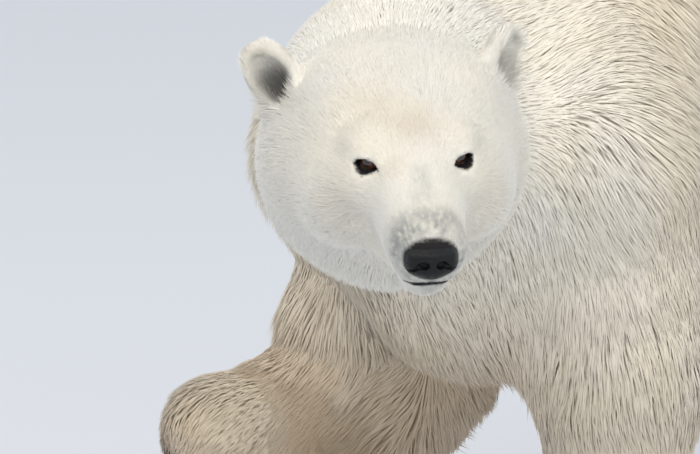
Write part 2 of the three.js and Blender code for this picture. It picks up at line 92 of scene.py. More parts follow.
def turned(axis: str, degrees: float) -> Array:
    """The 3x3 matrix of a turn about one axis.

    Args:
        axis: The axis, "x", "y" or "z".
        degrees: How far it turns.

    Returns:
        The matrix.
    """
    cosine, sine = math.cos(math.radians(degrees)), math.sin(math.radians(degrees))
    first, second = {"x": (1, 2), "y": (2, 0), "z": (0, 1)}[axis]
    matrix = np.eye(3)
    matrix[first, first] = matrix[second, second] = cosine
    matrix[second, first], matrix[first, second] = sine, -sine
    return matrix


def mottle(points: Array, size: float, seed: int = 0) -> Array:
    """Soft noise between 0 and 1 that changes over about `size` millimetres.

    Args:
        points: Places, one per row.
        size: Width of one cell of the noise.
        seed: Picks another pattern.

    Returns:
        One value per place.
    """
    cell = points / size + seed * 17.3
    low = np.floor(cell).astype(np.int64)
    share = cell - low
    share = share * share * (3.0 - 2.0 * share)
    total = np.zeros(len(points))
    for corner in range(8):
        bits = np.array([corner & 1, corner >> 1 & 1, corner >> 2])
        at = low + bits
        mixed = (at[:, 0] * 73856093) ^ (at[:, 1] * 19349663) ^ (at[:, 2] * 83492791) ^ (seed * 2654435)
        mixed = (mixed ^ (mixed >> 13)) * 1274126177 & 0x7FFFFFFF
        value = (mixed ^ (mixed >> 16)) % 4096 / 4095.0
        total += value * np.prod(np.where(bits, share, 1.0 - share), axis=1)
    return total


def linear(colour: str) -> Point:
    """A linear colour from an sRGB hex value such as "#D8D2C0"."""
    parts = [int(colour[i:i + 2], 16) / 255.0 for i in (1, 3, 5)]
    return tuple(part / 12.92 if part <= 0.04045 else ((part + 0.055) / 1.055) ** 2.4 for part in parts)


@dataclass(frozen=True)
class Place:
    """A turned frame inside the body's frame."""

    origin: Array
    turn: Array

    def out(self, points: Array) -> Array:
        """Points of this frame, in the body's frame."""
        return np.asarray(points, float) @ self.turn.T + self.origin

    def into(self, points: Array) -> Array:
        """Points of the body's frame, in this frame."""
        return (points - self.origin) @ self.turn

    def aim(self, directions: Array) -> Array:
        """Directions of this frame, in the body's frame."""
        return np.asarray(directions, float) @ self.turn.T

    def inner(self, origin: Point, turn: Array) -> "Place":
        """A frame that is given inside this one."""
        return Place(self.out(np.array(origin)), self.turn @ turn)


# ------------------------ forms


class Form:
    """A shape as a distance: negative inside, zero on its outline, in millimetres."""

    def at(self, points: Array) -> Array:
        """The distance at each point."""
        raise NotImplementedError


@dataclass(frozen=True)
class Limb(Form):
    """A tapered capsule; `stretch` widens it along x, y and z."""

    start: Point
    end: Point
    start_radius: float
    end_radius: float
    stretch: Point = (1.0, 1.0, 1.0)

    def at(self, points: Array) -> Array:
        """The distance at each point.

        Args:
            points: Places, one per row, in millimetres.

        Returns:
            The distance at each point, negative inside.
        """
        stretch = np.array(self.stretch)
        start, end = np.array(self.start) / stretch, np.array(self.end) / stretch
        step = end - start
        gap = points / stretch - start
        along = np.clip(gap @ step / (step @ step), 0.0, 1.0)
        gap -= along[:, None] * step
        radius = self.start_radius + (self.end_radius - self.start_radius) * along
        return np.sqrt(np.einsum("ij,ij->i", gap, gap)) - radius


@dataclass(frozen=True)
class Ball(Form):
    """An ellipsoid, tilted by some degrees about its side-to-side axis."""

    centre: Point
    radii: Point
    tilt: float = 0.0

    def at(self, points: Array) -> Array:
        """The distance at each point.

        Args:
            points: Places, one per row, in millimetres.

        Returns:
            The distance at each point, negative inside.
        """
        gap = (points - np.array(self.centre)) @ turned("x", self.tilt)
        radii = np.array(self.radii)
        near = np.linalg.norm(gap / radii, axis=1)
        steep = np.maximum(np.linalg.norm(gap / radii**2, axis=1), 1e-9)
        return near * (near - 1.0) / steep


@dataclass(frozen=True)
class Below(Form):
    """All the room under a level."""

    level: float

    def at(self, points: Array) -> Array:
        """The distance at each point."""
        return points[:, 2] - self.level


@dataclass(frozen=True)
class Melted(Form):
    """Several forms melted into one."""

    softness: float
    parts: tuple[Form, ...]

    def at(self, points: Array) -> Array:
        """The distance at each point.

        Args:
            points: Places, one per row, in millimetres.

        Returns:
            The distance at each point, negative inside.
        """
        near = self.parts[0].at(points)
        for part in self.parts[1:]:
            other = part.at(points)
            share = np.maximum(self.softness - np.abs(near - other), 0.0) / self.softness
            near = np.minimum(near, other) - share * share * self.softness / 4.0
        return near


@dataclass(frozen=True)
class Hollowed(Form):
    """A form with hollows pressed into it."""

    softness: float
    part: Form
    hollows: tuple[Form, ...]

    def at(self, points: Array) -> Array:
        """The distance at each point.

        Args:
            points: Places, one per row, in millimetres.

        Returns:
            The distance at each point, negative inside.
        """
        near = self.part.at(points)
        for hollow in self.hollows:
            other = -hollow.at(points)
            share = np.maximum(self.softness - np.abs(near - other), 0.0) / self.softness
            near = np.maximum(near, other) + share * share * self.softness / 4.0
        return near


@dataclass(frozen=True)
class BothSides(Form):
    """The same form on both sides of the plane x = 0."""

    part: Form

    def at(self, points: Array) -> Array:
        """The distance at each point."""
        return self.part.at(np.column_stack([np.abs(points[:, 0]), points[:, 1:]]))


@dataclass(frozen=True)
class Placed(Form):
    """A form written in a turned frame. It is only worked out near that frame's origin."""

    place: Place
    part: Form
    reach: float
    centre: Point = (0.0, 0.0, 0.0)

    def at(self, points: Array) -> Array:
        """The distance at each point.

        Args:
            points: Places, one per row, in millimetres.

        Returns:
            The distance at each point, negative inside.
        """
        inner = self.place.into(points)
        gap = np.linalg.norm(inner - np.array(self.centre), axis=1)
        near = gap < self.reach
        distance = np.full(len(points), self.reach)
        distance = np.maximum(distance, gap)
        distance[near] = self.part.at(inner[near])
        return distance


@dataclass(frozen=True)
class Within(Form):
    """A form that is only worked out inside a box."""

    part: Form
    low: Point
    high: Point

    def at(self, points: Array) -> Array:
        """The distance at each point.

        Args:
            points: Places, one per row, in millimetres.

        Returns:
            The distance at each point, negative inside.
        """
        near = np.all((points > np.array(self.low)) & (points < np.array(self.high)), axis=1)
        distance = np.full(len(points), 1000.0)
        distance[near] = self.part.at(points[near])
        return distance


# ------------------------ the animal's build


@dataclass(frozen=True)
class Head:
    """The head's stance and the sizes of its parts, in its own frame: -Y to the nose, +Z up.

    The frame's origin, `eyes`, lies midway between the eyes. Turns are in degrees. Each eye looks
    `eye_out` to its own side, `eye_down` downwards, and its slit drops by `eye_slant` towards the
    nose. `reach` is the distance from the head at which it is no longer worked out.
    """

    eyes: Point = (355.0, -1045.0, 806.0)
    middle: Point = (0.0, 60.0, -30.0)
    turn_left: float = 52.5
    nose_down: float = 11.0
    tilt_right: float = 2.0
    eye_apart: float = 98.0
    eye_radius: float = 12.5
    eye_deep: float = 1.0
    eye_out: float = 38.0
    eye_down: float = 6.0
    eye_slant: float = 3.0
    reach: float = 420.0

    def place(self) -> Place:
        """The head's frame in the body's frame."""
        turn = turned("z", self.turn_left) @ turned("x", self.nose_down) @ turned("y", -self.tilt_right)
        return Place(np.array(self.eyes), turn)

    def eye_place(self, side: int) -> Place:
        """The frame of one eye: +X along the slit to the animal's left, -Y out of the eye, +Z up.

        Args:
            side: 1 for the left eye, -1 for the right.

        Returns:
            The frame.
        """
        turn = turned("z", side * self.eye_out) @ turned("x", self.eye_down)
        turn = turn @ turned("y", -side * self.eye_slant)
        return self.place().inner((side * self.eye_apart / 2, self.eye_deep, 0.0), turn)

    def outline(self) -> Form:
        """Skull, cheeks, brows, muzzle and jaw, out to the tips of the hair.

        Returns:
            The form in the head's frame.
        """
        cranium = Melted(34, (
            Ball((0, 140, -34), (120, 178, 96), -3),
            BothSides(Ball((58, 150, 8), (60, 96, 52))),
            BothSides(Ball((66, 92, -66), (66, 104, 68))),
            BothSides(Ball((76, 172, -66), (80, 96, 98)))))
        snout = Melted(34, (
            cranium,
            Limb((0, -2, -38), (0, -113, -66), 59, 43, (1.02, 1, 0.98)),
            Limb((0, 60, -94), (0, -88, -104), 54, 27, (1.04, 1, 1))))
        return Melted(20, (
            snout,
            BothSides(Ball((44, 22, 8), (32, 40, 24))),
            BothSides(Ball((54, 36, -36), (36, 56, 34)))))


@dataclass(frozen=True)
class Ear:
    """One ear: base on the head, lean outwards and back, and twist of its opening, in degrees."""

    side: int
    base: Point
    lean: float
    lean_back: float
    twist: float
    # how dark the ear's hollow is painted: its dark hair together with painted shade in the hollow, so the
    # two ears differ
    dark: float = 1.0

    def place(self, head: Place) -> Place:
        """The ear's frame: +Z to the tip, opening towards -Y."""
        turn = turned("x", -self.lean_back) @ turned("y", self.side * self.lean)
        return head.inner(self.base, turn @ turned("z", self.side * self.twist))

    def shell(self, thinner: float) -> Form:
        """The ear's body, drawn in by the depth of its hair.

        Args:
            thinner: How far its surface is drawn in, in millimetres.

        Returns:
            The form in the ear's frame.
        """
        return Melted(14, (
            Ball((0, 0, 34), (34 - thinner, 22 - thinner, 48 - thinner)),
            Ball((0, 6, 0), (30.6 - thinner, 25.3 - thinner, 33.6 - thinner))))

    def cup(self) -> Form:
        """The hollow in the ear's front."""
        return Ball((0, -19, 38), (22.5, 20, 33), -6)


# the hollows are painted dark with hair colour and painted shade: fully in the right ear, 0.55 in the left
EARS = (Ear(-1, (-122, 178, 14), 32, 0, 14), Ear(1, (112, 180, 10), 20, 4, 56, 0.55))


@dataclass(frozen=True)
class Leg:
    """One leg: joints from the top down, each with the radius of the limb there.

    `fringe` and `front` are the middle and radii of the hair behind the limb and the muscle before
    it, `hamstring` is the thick muscle down the back of a thigh, `toe_in` turns the foot inwards and
    `pitch` hangs it down, in degrees. The sole lies `fore_depth` or `hind_depth` under the wrist or
    hock, with the coat under it `sole_hair` deep.
    """

    name: str
    side: int
    fore: bool
    blade: tuple[Point, float]
    top: tuple[Point, float]
    middle: tuple[Point, float]
    ankle: tuple[Point, float]
    fringe: tuple[Point, Point]
    toe_in: float
    pitch: float = 0.0
    front: tuple[Point, Point] | None = None
    hamstring: tuple[Point, Point, float, float] | None = None
    fore_depth: float = 141.0
    hind_depth: float = 151.0
    sole_hair: float = 9.0

    @property
    def toe_sizes(self) -> tuple[float, float, float, float, float]:
        """Step between toes, reach, arc, toe radius and claw length."""
        return (37.0, 140.0, 9.0, 31.0, 46.0) if self.fore else (32.0, 172.0, 7.0, 28.0, 36.0)

    @property
    def depth(self) -> float:
        """How far the sole lies under the wrist or hock."""
        return self.fore_depth if self.fore else self.hind_depth

    def foot_place(self) -> Place:
        """The foot's frame: origin in the wrist or hock, -Y along the toes, +Z out of its back."""
        return Place(np.array(self.ankle[0]), turned("z", -self.side * self.toe_in) @ turned("x", self.pitch))

    def toes(self) -> list[tuple[Array, Array]]:
        """The root and tip of each toe in the foot's frame, in a shallow arc.

        Returns:
            A root and a tip for each of the five toes.
        """
        step, reach, arc, radius, _ = self.toe_sizes
        toes = []
        depth = -self.depth + self.sole_hair + radius - 2.0
        for place in range(-2, 3):
            tip = np.array([place * step, -reach + arc * place * place, depth])
            toes.append((np.array([place * step * 0.7, tip[1] + reach * 0.45, depth + 12.0]), tip))
        return toes

    def foot(self) -> Form:
        """Wrist or hock, sole and toes in the foot's frame.

        Returns:
            The form in the foot's frame.
        """
        radius = self.toe_sizes[3]
        toes = tuple(Limb(tuple(root), tuple(tip), radius * 1.05, radius) for root, tip in self.toes())
        if self.fore:
            sole = (Limb((0, 4, 0), (0, -30, -self.depth + 70), self.ankle[1], 70),
                    Ball((0, -66, -self.depth + 56), (94, 84, 54)))
        else:
            sole = (Limb((0, 0, 0), (0, 18, -self.depth + 66), self.ankle[1], 66),
                    Limb((0, 22, -self.depth + 58), (0, -108, -self.depth + 52), 60, 50, (1.35, 1, 1)))
        return Melted(16, (Melted(40, sole), *toes))

    def outline(self) -> Form:
        """The whole leg, out to the tips of the hair.

        Returns:
            The form in the body's frame.
        """
        parts = [
            Limb(self.blade[0], self.top[0], self.blade[1], self.top[1]),
            Limb(self.top[0], self.middle[0], self.top[1], self.middle[1]),
            Limb(self.middle[0], self.ankle[0], self.middle[1] * 0.93, self.ankle[1]),
            Limb(*self.hamstring) if self.hamstring else Ball(*self.fringe)]
        if self.front:
            parts.append(Ball(*self.front))
        foot = Placed(self.foot_place(), self.foot(), 340.0)
        joints = np.array([self.blade[0], self.top[0], self.middle[0], self.ankle[0]])
        low, high = joints.min(axis=0) - 330.0, joints.max(axis=0) + 330.0
        return Within(Melted(40, (*parts, foot)), tuple(low), tuple(high))


LEGS = (
    Leg("foreleg_left", 1, True, ((112, -400, 925), 112), ((165, -545, 722), 150),
        ((190, -514, 472), 120), ((182, -492, 132), 76), ((192, -462, 440), (70, 90, 110)), 9),
    Leg("foreleg_right", -1, True, ((-112, -420, 925), 112), ((-174, -575, 692), 148),
        ((-200, -470, 405), 112), ((-226, -800, 345), 66), ((-205, -520, 330), (72, 150, 85)), 6, 70,
        ((-206, -600, 462), (82, 88, 100))),
    Leg("hindleg_left", 1, False, ((105, 500, 730), 138), ((100, 392, 745), 180),
        ((186, 275, 440), 120), ((172, 520, 142), 80), ((150, 430, 520), (95, 120, 130)), 7,
        hamstring=((128, 492, 650), (172, 478, 255), 136, 76)),
    Leg("hindleg_right", -1, False, ((-105, 500, 740), 138), ((-100, 380, 745), 180),
        ((-192, 150, 455), 120), ((-176, 318, 142), 80), ((-152, 330, 520), (95, 120, 130)), 7,
        hamstring=((-128, 440, 650), (-176, 290, 262), 140, 78)),
)


@dataclass(frozen=True)
class Torso:
    """Neck, trunk and tail.

    The neck's middle line leaves the head at `neck_from`, in the head's frame, and ends at `neck_to`.
    `neck_pulls` gives the length of the curve's handle at each end.
    """

    neck_from: Point = (0.0, 205.0, -90.0)
    neck_to: Point = (0.0, -455.0, 750.0)
    neck_radii: tuple[float, float] = (134.0, 196.0)
    neck_pulls: tuple[float, float] = (170.0, 210.0)
    steps: int = 6

    def neck_line(self, head: Place) -> Array:
        """The middle of the neck, from the back of the head to between the shoulder blades.

        Args:
            head: The head's frame in the body's frame.

        Returns:
            Points along the line, one per row.
        """
        start, end = head.out(np.array(self.neck_from)), np.array(self.neck_to)
        pulled = (start, start + self.neck_pulls[0] * head.aim(np.array([0.0, 1.0, 0.0])),
                  end - np.array([0.0, self.neck_pulls[1], 0.0]), end)
        share = np.linspace(0.0, 1.0, self.steps + 1)[:, None]
        weights = ((1 - share) ** 3, 3 * share * (1 - share) ** 2, 3 * share**2 * (1 - share), share**3)
        return sum(weight * point for weight, point in zip(weights, pulled))

    def neck(self, head: Place) -> Form:
        """A chain of limbs along the neck's middle line.

        Args:
            head: The head's frame in the body's frame.

        Returns:
            The form in the body's frame.
        """
        line = self.neck_line(head)
        radii = np.linspace(*self.neck_radii, self.steps + 1)
        return Melted(30, tuple(
            Limb(tuple(line[i]), tuple(line[i + 1]), radii[i], radii[i + 1], (1, 1, 1.12))
            for i in range(self.steps)))

    def trunk(self) -> Form:
        """Rib cage, belly, croup, withers, breast and brisket.

        Returns:
            The form in the body's frame.
        """
        return Melted(90, (
            Ball((0, -300, 752), (262, 390, 292)),
            Ball((0, 60, 735), (278, 420, 278)),
            Ball((0, 355, 800), (248, 290, 268)),
            Ball((0, -400, 930), (130, 190, 132)),
            Ball((0, -590, 640), (182, 150, 190)),
            Ball((0, -470, 520), (150, 190, 105))))

    def tail(self) -> Form:
        """The short tail."""
        return Limb((0, 600, 880), (0, 676, 726), 48, 40)


# ------------------------ the lie of the coat


@dataclass(frozen=True)
class Area:
    """How the hair grows round one place.

    `lie` is the way the hair runs, `depth` how far its tips stand from the skin, `length` and
    `width` the size of one lock, and `reach` how far the area spreads, all in millimetres.
    """

    at: Point
    lie: Point
    depth: float
    length: float
    width: float
    reach: float = 150.0

    def placed(self, place: Place) -> "Area":
        """The area as it lies in the body's frame, when it is given in a turned frame."""
        return replace(self, at=tuple(place.out(self.at)), lie=tuple(place.aim(self.lie)))


def both(at: Point, lie: Point, *sizes: float) -> list[Area]:
    """The same area on the left and the right side."""
    return [Area((side * at[0], at[1], at[2]), (side * lie[0], lie[1], lie[2]), *sizes) for side in (1, -1)]


BODY_AREAS = [
    Area((0, -430, 1070), (0, 1, -0.06), 17.0, 66, 3.4, 190),
    Area((0, 60, 1020), (0, 1, -0.04), 16.0, 62, 4.1, 260),
    Area((0, 420, 1050), (0, 1, -0.32), 16.0, 62, 4.1, 220),
    Area((0, 640, 880), (0, 0.35, -1), 17.0, 66, 4.2, 150),
    Area((0, 712, 720), (0, 0.1, -1), 10.0, 55, 4.0, 90),
    *both((200, -250, 960), (0.1, 1, -0.35), 17.0, 60, 3.4, 200),
    *both((262, -250, 740), (0.05, 0.72, -0.7), 17.0, 60, 3.6, 200),
    *both((270, 80, 740), (0, 0.85, -0.55), 17.0, 62, 4.1, 240),
    *both((240, 360, 800), (0, 0.7, -0.75), 16.0, 60, 4.1, 220),
    *both((150, 60, 500), (-0.1, 0.8, -0.6), 20.0, 84, 4.8, 200),
    Area((0, 60, 455), (0, 1, -0.25), 21.0, 88, 4.8, 200),
    Area((0, -500, 440), (0, 0.75, -0.65), 21.0, 88, 4.0, 170),
    Area((0, -730, 620), (0, 0.25, -1), 18.0, 76, 3.4, 170),
    *both((140, -640, 640), (0.12, 0.15, -1), 17.0, 66, 3.2, 150),
    *both((240, -480, 860), (0.1, 0.5, -0.86), 17.0, 58, 3.2, 170),
    *both((280, -430, 680), (0, 0.3, -0.95), 16.0, 56, 3.2, 150),
]

HEAD_AREAS = [
    Area((0, -140, -42), (0, 1, 0.45), 1.2, 6, 1.3, 30),
    Area((0, -95, -16), (0, 1, 0.35), 2.4, 8, 1.5, 48),
    Area((0, -40, 8), (0, 1, 0.35), 3.3, 10, 1.6, 50),
    *both((46, -4, 22), (0.2, 1, 0.35), 3.6, 11, 1.6, 34),
    *both((60, -22, -30), (0.35, 1, -0.25), 3.6, 11, 1.6, 36),
    *both((52, -72, -56), (0.3, 1, -0.15), 2.7, 9, 1.5, 42),
    *both((34, -128, -88), (0.3, 0.9, -0.3), 1.6, 7, 1.4, 32),
    Area((0, -112, -132), (0, 0.7, -0.5), 2.7, 13, 1.6, 34),
    Area((0, -40, -146), (0, 1, -0.2), 4.8, 20, 2.0, 55),
    *both((62, -20, -108), (0.2, 1, -0.35), 4.8, 16, 1.8, 48),
    Area((0, 40, 50), (0, 1, 0.18), 5.4, 14, 1.7, 60),
    Area((0, 130, 68), (0, 1, 0.0), 7.8, 20, 1.9, 70),
    *both((74, 90, 44), (0.25, 1, 0.1), 6.0, 17, 1.8, 55),
    *both((104, 60, -30), (0.15, 1, -0.2), 6.0, 18, 1.9, 60),
    *both((110, 100, -92), (0.1, 0.85, -0.5), 8.4, 26, 2.1, 65),
    *both((150, 190, -50), (0.1, 0.95, -0.45), 10.8, 32, 2.3, 75),
    *both((120, 180, -130), (0.05, 0.8, -0.75), 13.2, 40, 2.5, 75),
    Area((0, 90, -160), (0, 0.9, -0.5), 12.0, 40, 2.5, 85),
    Area((0, 250, 60), (0, 1, -0.1), 13.2, 36, 2.4, 85),
]


class Lie:
    """Blends the areas into one coat: its lie, depth and lock sizes at any place."""

    pressed: float = 0.72  # the coat lies this much flatter than hair that is brushed up

    def __init__(self, head: Place, torso: Torso) -> None:
        """Gathers the areas of the whole animal.

        Args:
            head: The head's frame in the body's frame.
            torso: The torso, for the neck's line.
        """
        areas = [*BODY_AREAS, *(area.placed(head) for area in HEAD_AREAS)]
        areas += self._neck_areas(head, torso)
        for leg in LEGS:
            areas += self._leg_areas(leg)
        for ear in EARS:
            areas += self._ear_areas(ear.place(head))
        self.at = np.array([area.at for area in areas])
        self.lies = unit(np.array([area.lie for area in areas]))
        self.sizes = np.array([(area.depth * self.pressed, area.length, area.width) for area in areas])
        self.reach = np.array([area.reach for area in areas])

    @staticmethod
    def _neck_areas(head: Place, torso: Torso) -> list[Area]:
        """Areas round the neck, combed from the head to the shoulders and down.

        Args:
            head: The head's frame in the body's frame.
            torso: The torso, for the neck's line.

        Returns:
            The areas, in the body's frame.
        """
        line = torso.neck_line(head)
        radii = np.linspace(*torso.neck_radii, len(line))
        areas = []
        for share, depth, length, width in ((1.4, 14, 42, 2.5), (2.8, 15, 52, 2.8), (4.2, 16, 60, 3.2)):
            low = int(share)
            centre = line[low] + (line[low + 1] - line[low]) * (share - low)
            along = unit(line[low + 1] - line[low])
            across = unit(np.cross(along, np.array([0.0, 0.0, 1.0])))
            up = np.cross(across, along)
            radius = radii[low]
            for degrees, drop in ((0, 0.0), (60, 0.3), (120, 0.7), (180, 0.6), (240, 0.7), (300, 0.3)):
                angle = math.radians(degrees)
                side = across * math.sin(angle) + up * math.cos(angle)
                lie = along - np.array([0.0, 0.0, drop])
                areas.append(Area(tuple(centre + side * radius), tuple(lie), depth, length, width, 120))
        return areas

    @staticmethod
    def _leg_areas(leg: Leg) -> list[Area]:
        """Areas down a leg and over its foot.

        Args:
            leg: The leg.

        Returns:
            The areas, in the body's frame.
        """
        top, middle, ankle = (np.array(joint[0]) for joint in (leg.top, leg.middle, leg.ankle))
        down = unit(middle - top)
        lower = unit(ankle - middle)
        areas = []
        fine = 1.0 if leg.fore else 1.3
        for share, depth, length in ((0.45, 15, 54), (1.0, 14, 50)):
            centre = top + (middle - top) * share
            lie = tuple(down + np.array([0.0, 0.15, -0.2]))
            for side in (1, -1):
                at = centre + np.array([side * leg.middle[1], 0.0, 0.0])
                areas.append(Area(tuple(at), lie, depth, length, 3.2 * fine, 120))
        for share, depth, length, width in ((0.35, 13, 46, 3.1), (0.7, 11, 36, 2.8), (1.0, 8, 24, 2.5)):
            centre = middle + (ankle - middle) * share
            radius = leg.middle[1] * 0.93 + (leg.ankle[1] - leg.middle[1] * 0.93) * share
            lie = tuple(lower + np.array([0.0, 0.0, -0.25]))
            for x, y in ((1, 0), (-1, 0), (0, -1), (0, 1)):
                at = centre + np.array([x, y, 0.0]) * radius
                areas.append(Area(tuple(at), lie, depth, length, width * fine, 80))
        (x, y, z), radii = leg.fringe
        hang = (0.0, 0.75, -0.7) if leg.fore else (0.0, 0.6, -0.8)
        areas.append(Area((x, y + radii[1] * 0.8, z - radii[2] * 0.3), hang, 20, 84, 3.6, 70))
        if leg.pitch:
            areas.append(Area((x, y, z - radii[2]), (0.0, 0.9, -0.45), 24, 84, 3.2, 90))
        reach = leg.toe_sizes[1]
        floor = -leg.depth
        for at, lie, depth, length in (
                ((0, -70, floor + 112), (0, -1, -0.25), 6, 18),
                ((0, -reach - 10, floor + 58), (0, -0.8, -0.8), 3.5, 12),
                ((90, -60, floor + 50), (0.1, -0.7, -0.8), 5, 18),
                ((-90, -60, floor + 50), (-0.1, -0.7, -0.8), 5, 18),
                ((0, 60, floor + 50), (0, 0.4, -1), 7, 22), ((0, -60, floor + 5), (0, 0.2, -1), 3, 12)):
            areas.append(Area(at, lie, depth, length, 2.2 * fine, 60).placed(leg.foot_place()))
        return areas

    @staticmethod
    def _ear_areas(ear: Place) -> list[Area]:
        """Short hair that runs up the back of an ear and over its rim.

        Args:
            ear: The ear's frame.

        Returns:
            The areas, in the body's frame.
        """
        areas = []
        for at in ((0, 20, 30), (30, 0, 38), (-30, 0, 38), (0, 4, 82)):
            areas.append(Area(at, (at[0] * 0.01, 0.1, 1.0), 3.0, 10, 1.5, 30).placed(ear))
        return areas

    def __call__(self, points: Array) -> tuple[Array, Array]:
        """Reads the coat at some places.

        Args:
            points: Places in the body's frame, one per row.

        Returns:
            The lie of the hair, and its depth, length and width, one row per place.
        """
        lies, sizes = np.empty((len(points), 3)), np.empty((len(points), self.sizes.shape[1]))
        for low in range(0, len(points), 20000):
            some = points[low:low + 20000]
            gap = ((some[:, None, :] - self.at[None]) ** 2).sum(axis=2) / self.reach**2
            weight = 1.0 / (gap + 0.04) ** 2
            weight /= weight.sum(axis=1, keepdims=True)
            lies[low:low + 20000] = weight @ self.lies
            sizes[low:low + 20000] = weight @ self.sizes
        return unit(lies), sizes

    def depth(self, points: Array) -> Array:
        """The depth of the coat at some places."""
        return self(points)[1][:, 0]


# ------------------------ from forms to meshes


def sampled(form: Form, lines: Grid) -> Array:
    """Reads a form at every place of a grid; the grid's rim always counts as outside.

    Args:
        form: The form to read.
        lines: Grid places along x, y and z, in millimetres.

    Returns:
        The distance at each place of the grid.
    """
    shape = tuple(len(line) for line in lines)
    values = np.empty(shape, np.float32)
    flat = np.stack(np.meshgrid(lines[1], lines[2], indexing="ij"), axis=-1).reshape(-1, 2)
    for i, x in enumerate(lines[0]):
        values[i] = form.at(np.column_stack([np.full(len(flat), x), flat])).reshape(shape[1:])
    for axis in range(3):
        for rim in (0, -1):
            index = [slice(None)] * 3
            index[axis] = [rim]
            values[tuple(index)] = np.maximum(values[tuple(index)], 1.0)
    return values


def cell_corners(values: Array, cells: Array, lines: Grid) -> Array:
    """Puts a corner in each cell, in the middle of the places where the outline cuts its edges.

    Args:
        values: The distance at each place of the grid.
        cells: The numbers, along x, y and z, of the cells that the outline passes through.
        lines: Grid places along x, y and z, in millimetres.

    Returns:
        One corner per cell.
    """
    sums, counts = np.zeros((len(cells), 3)), np.zeros(len(cells))
    for axis in range(3):
        step = np.eye(3, dtype=int)[axis]
        for first in (0, 1):
            for second in (0, 1):
                offset = np.insert([first, second], axis, 0)
                low, high = cells + offset, cells + offset + step
                at_low, at_high = values[tuple(low.T)], values[tuple(high.T)]
                cut = (at_low < 0) != (at_high < 0)
                share = np.where(cut, at_low / np.where(cut, at_low - at_high, 1.0), 0.0)
                place = np.column_stack([lines[a][low[:, a]] for a in range(3)])
                place[:, axis] += share * (lines[axis][high[:, axis]] - lines[axis][low[:, axis]])
                sums += place * cut[:, None]
                counts += cut
    return sums / counts[:, None]


def crossing_faces(inside: Array, number: Array) -> Array:
    """Lays a four-sided face across each grid edge that the outline cuts.

    Args:
        inside: Whether each place of the grid lies inside the form.
        number: The number of each cell's corner.

    Returns:
        Four corner numbers for each face.
    """
    shape, step = inside.shape, np.eye(3, dtype=int)
    faces = []
    for axis in range(3):
        after, last = (axis + 1) % 3, (axis + 2) % 3
        near = np.take(inside, range(shape[axis] - 1), axis=axis)
        far = np.take(inside, range(1, shape[axis]), axis=axis)
        edges = np.argwhere(near != far)
        for side in (after, last):
            edges = edges[(edges[:, side] > 0) & (edges[:, side] < shape[side] - 1)]
        backs = (0 * step[after], step[after], step[after] + step[last], step[last])
        ring = np.stack([number[tuple((edges - back).T)] for back in backs], axis=1)
        flip = ~inside[tuple(edges.T)]
        ring[flip] = ring[flip, ::-1]
        faces.append(ring)
    return np.vstack(faces)


def surface(form: Form, lines: Grid) -> tuple[Array, Array]:
    """Meshes a form over a grid with its own spacing along each axis.

    Args:
        form: The form to mesh.
        lines: Grid places along x, y and z, in millimetres.

    Returns:
        The corners, and four corner numbers for each face.
    """
    values = sampled(form, lines)
    inside = values < 0
    shape = inside.shape
    total = sum(inside[i:shape[0] - 1 + i, j:shape[1] - 1 + j, k:shape[2] - 1 + k].astype(np.int8)
                for i in (0, 1) for j in (0, 1) for k in (0, 1))
    cells = np.argwhere((total > 0) & (total < 8))
    number = np.full(total.shape, -1, np.int64)
    number[tuple(cells.T)] = np.arange(len(cells))
    return cell_corners(values, cells, lines), crossing_faces(inside, number)


def settled(form: Form, points: Array, rounds: int = 3, step: float = 0.6, most: float = 4.0) -> Array:
    """Slides points along a form's slope until they lie on its outline.

    Args:
        form: The form to settle on.
        points: The points to slide.
        rounds: How often they slide.
        step: Distance between the readings of the slope.
        most: The farthest that a point slides in a round.

    Returns:
        The points on the outline.
    """
    points = points.copy()
    for _ in range(rounds):
        value, slope = form.at(points), slope_of(form, points, step)
        steep = np.maximum((slope**2).sum(axis=1), 0.05)
        points -= slope * (np.clip(value, -most, most) / steep)[:, None]
    return points


def slope_of(form: Form, points: Array, step: float) -> Array:
    """The slope of a form at some points, from differences over `step`."""
    tips = np.array([[1, 1, 1], [1, -1, -1], [-1, 1, -1], [-1, -1, 1]], float)
    return sum(form.at(points + step * tip)[:, None] * tip for tip in tips) / (4.0 * step)


def spaced(low: float, high: float, coarse: float, fine: float, fine_low: float, fine_high: float) -> Array:
    """Grid places from low to high, close together between fine_low and fine_high.

    Args:
        low: The first place.
        high: The last place.
        coarse: Spacing outside the fine part.
        fine: Spacing inside it.
        fine_low: Where the fine part starts.
        fine_high: Where it ends.

    Returns:
        The places, in order.
    """
    before = np.linspace(low, fine_low, max(2, round((fine_low - low) / coarse) + 1))[:-1]
    middle = np.linspace(fine_low, fine_high, round((fine_high - fine_low) / fine) + 1)
    after = np.linspace(fine_high, high, max(2, round((high - fine_high) / coarse) + 1))[1:]
    return np.concatenate([before, middle, after])


def mesh_of(name: str, points: Array, faces: Array, shift: Array | None = None) -> bpy.types.Object:
    """Makes an object from corners in millimetres and faces that all have as many corners.

    Args:
        name: The piece's name.
        points: Corners in millimetres.
        faces: Corner numbers, one face per row.
        shift: From the body's frame to the model's frame, in millimetres.

    Returns:
        The new object, linked to the scene.
    """
    places = (points + (0.0 if shift is None else shift)) * MM
    mesh = bpy.data.meshes.new(name)
    mesh.vertices.add(len(places))
    mesh.vertices.foreach_set("co", places.astype(np.float32).ravel())
    mesh.loops.add(faces.size)
    mesh.loops.foreach_set("vertex_index", faces.astype(np.int32).ravel())
    mesh.polygons.add(len(faces))
    mesh.polygons.foreach_set("loop_start", np.arange(0, faces.size, faces.shape[1], dtype=np.int32))
    mesh.update(calc_edges=True)
    mesh.polygons.foreach_set("use_smooth", np.ones(len(faces), bool))
    piece = bpy.data.objects.new(name, mesh)
    bpy.context.scene.collection.objects.link(piece)
    return piece


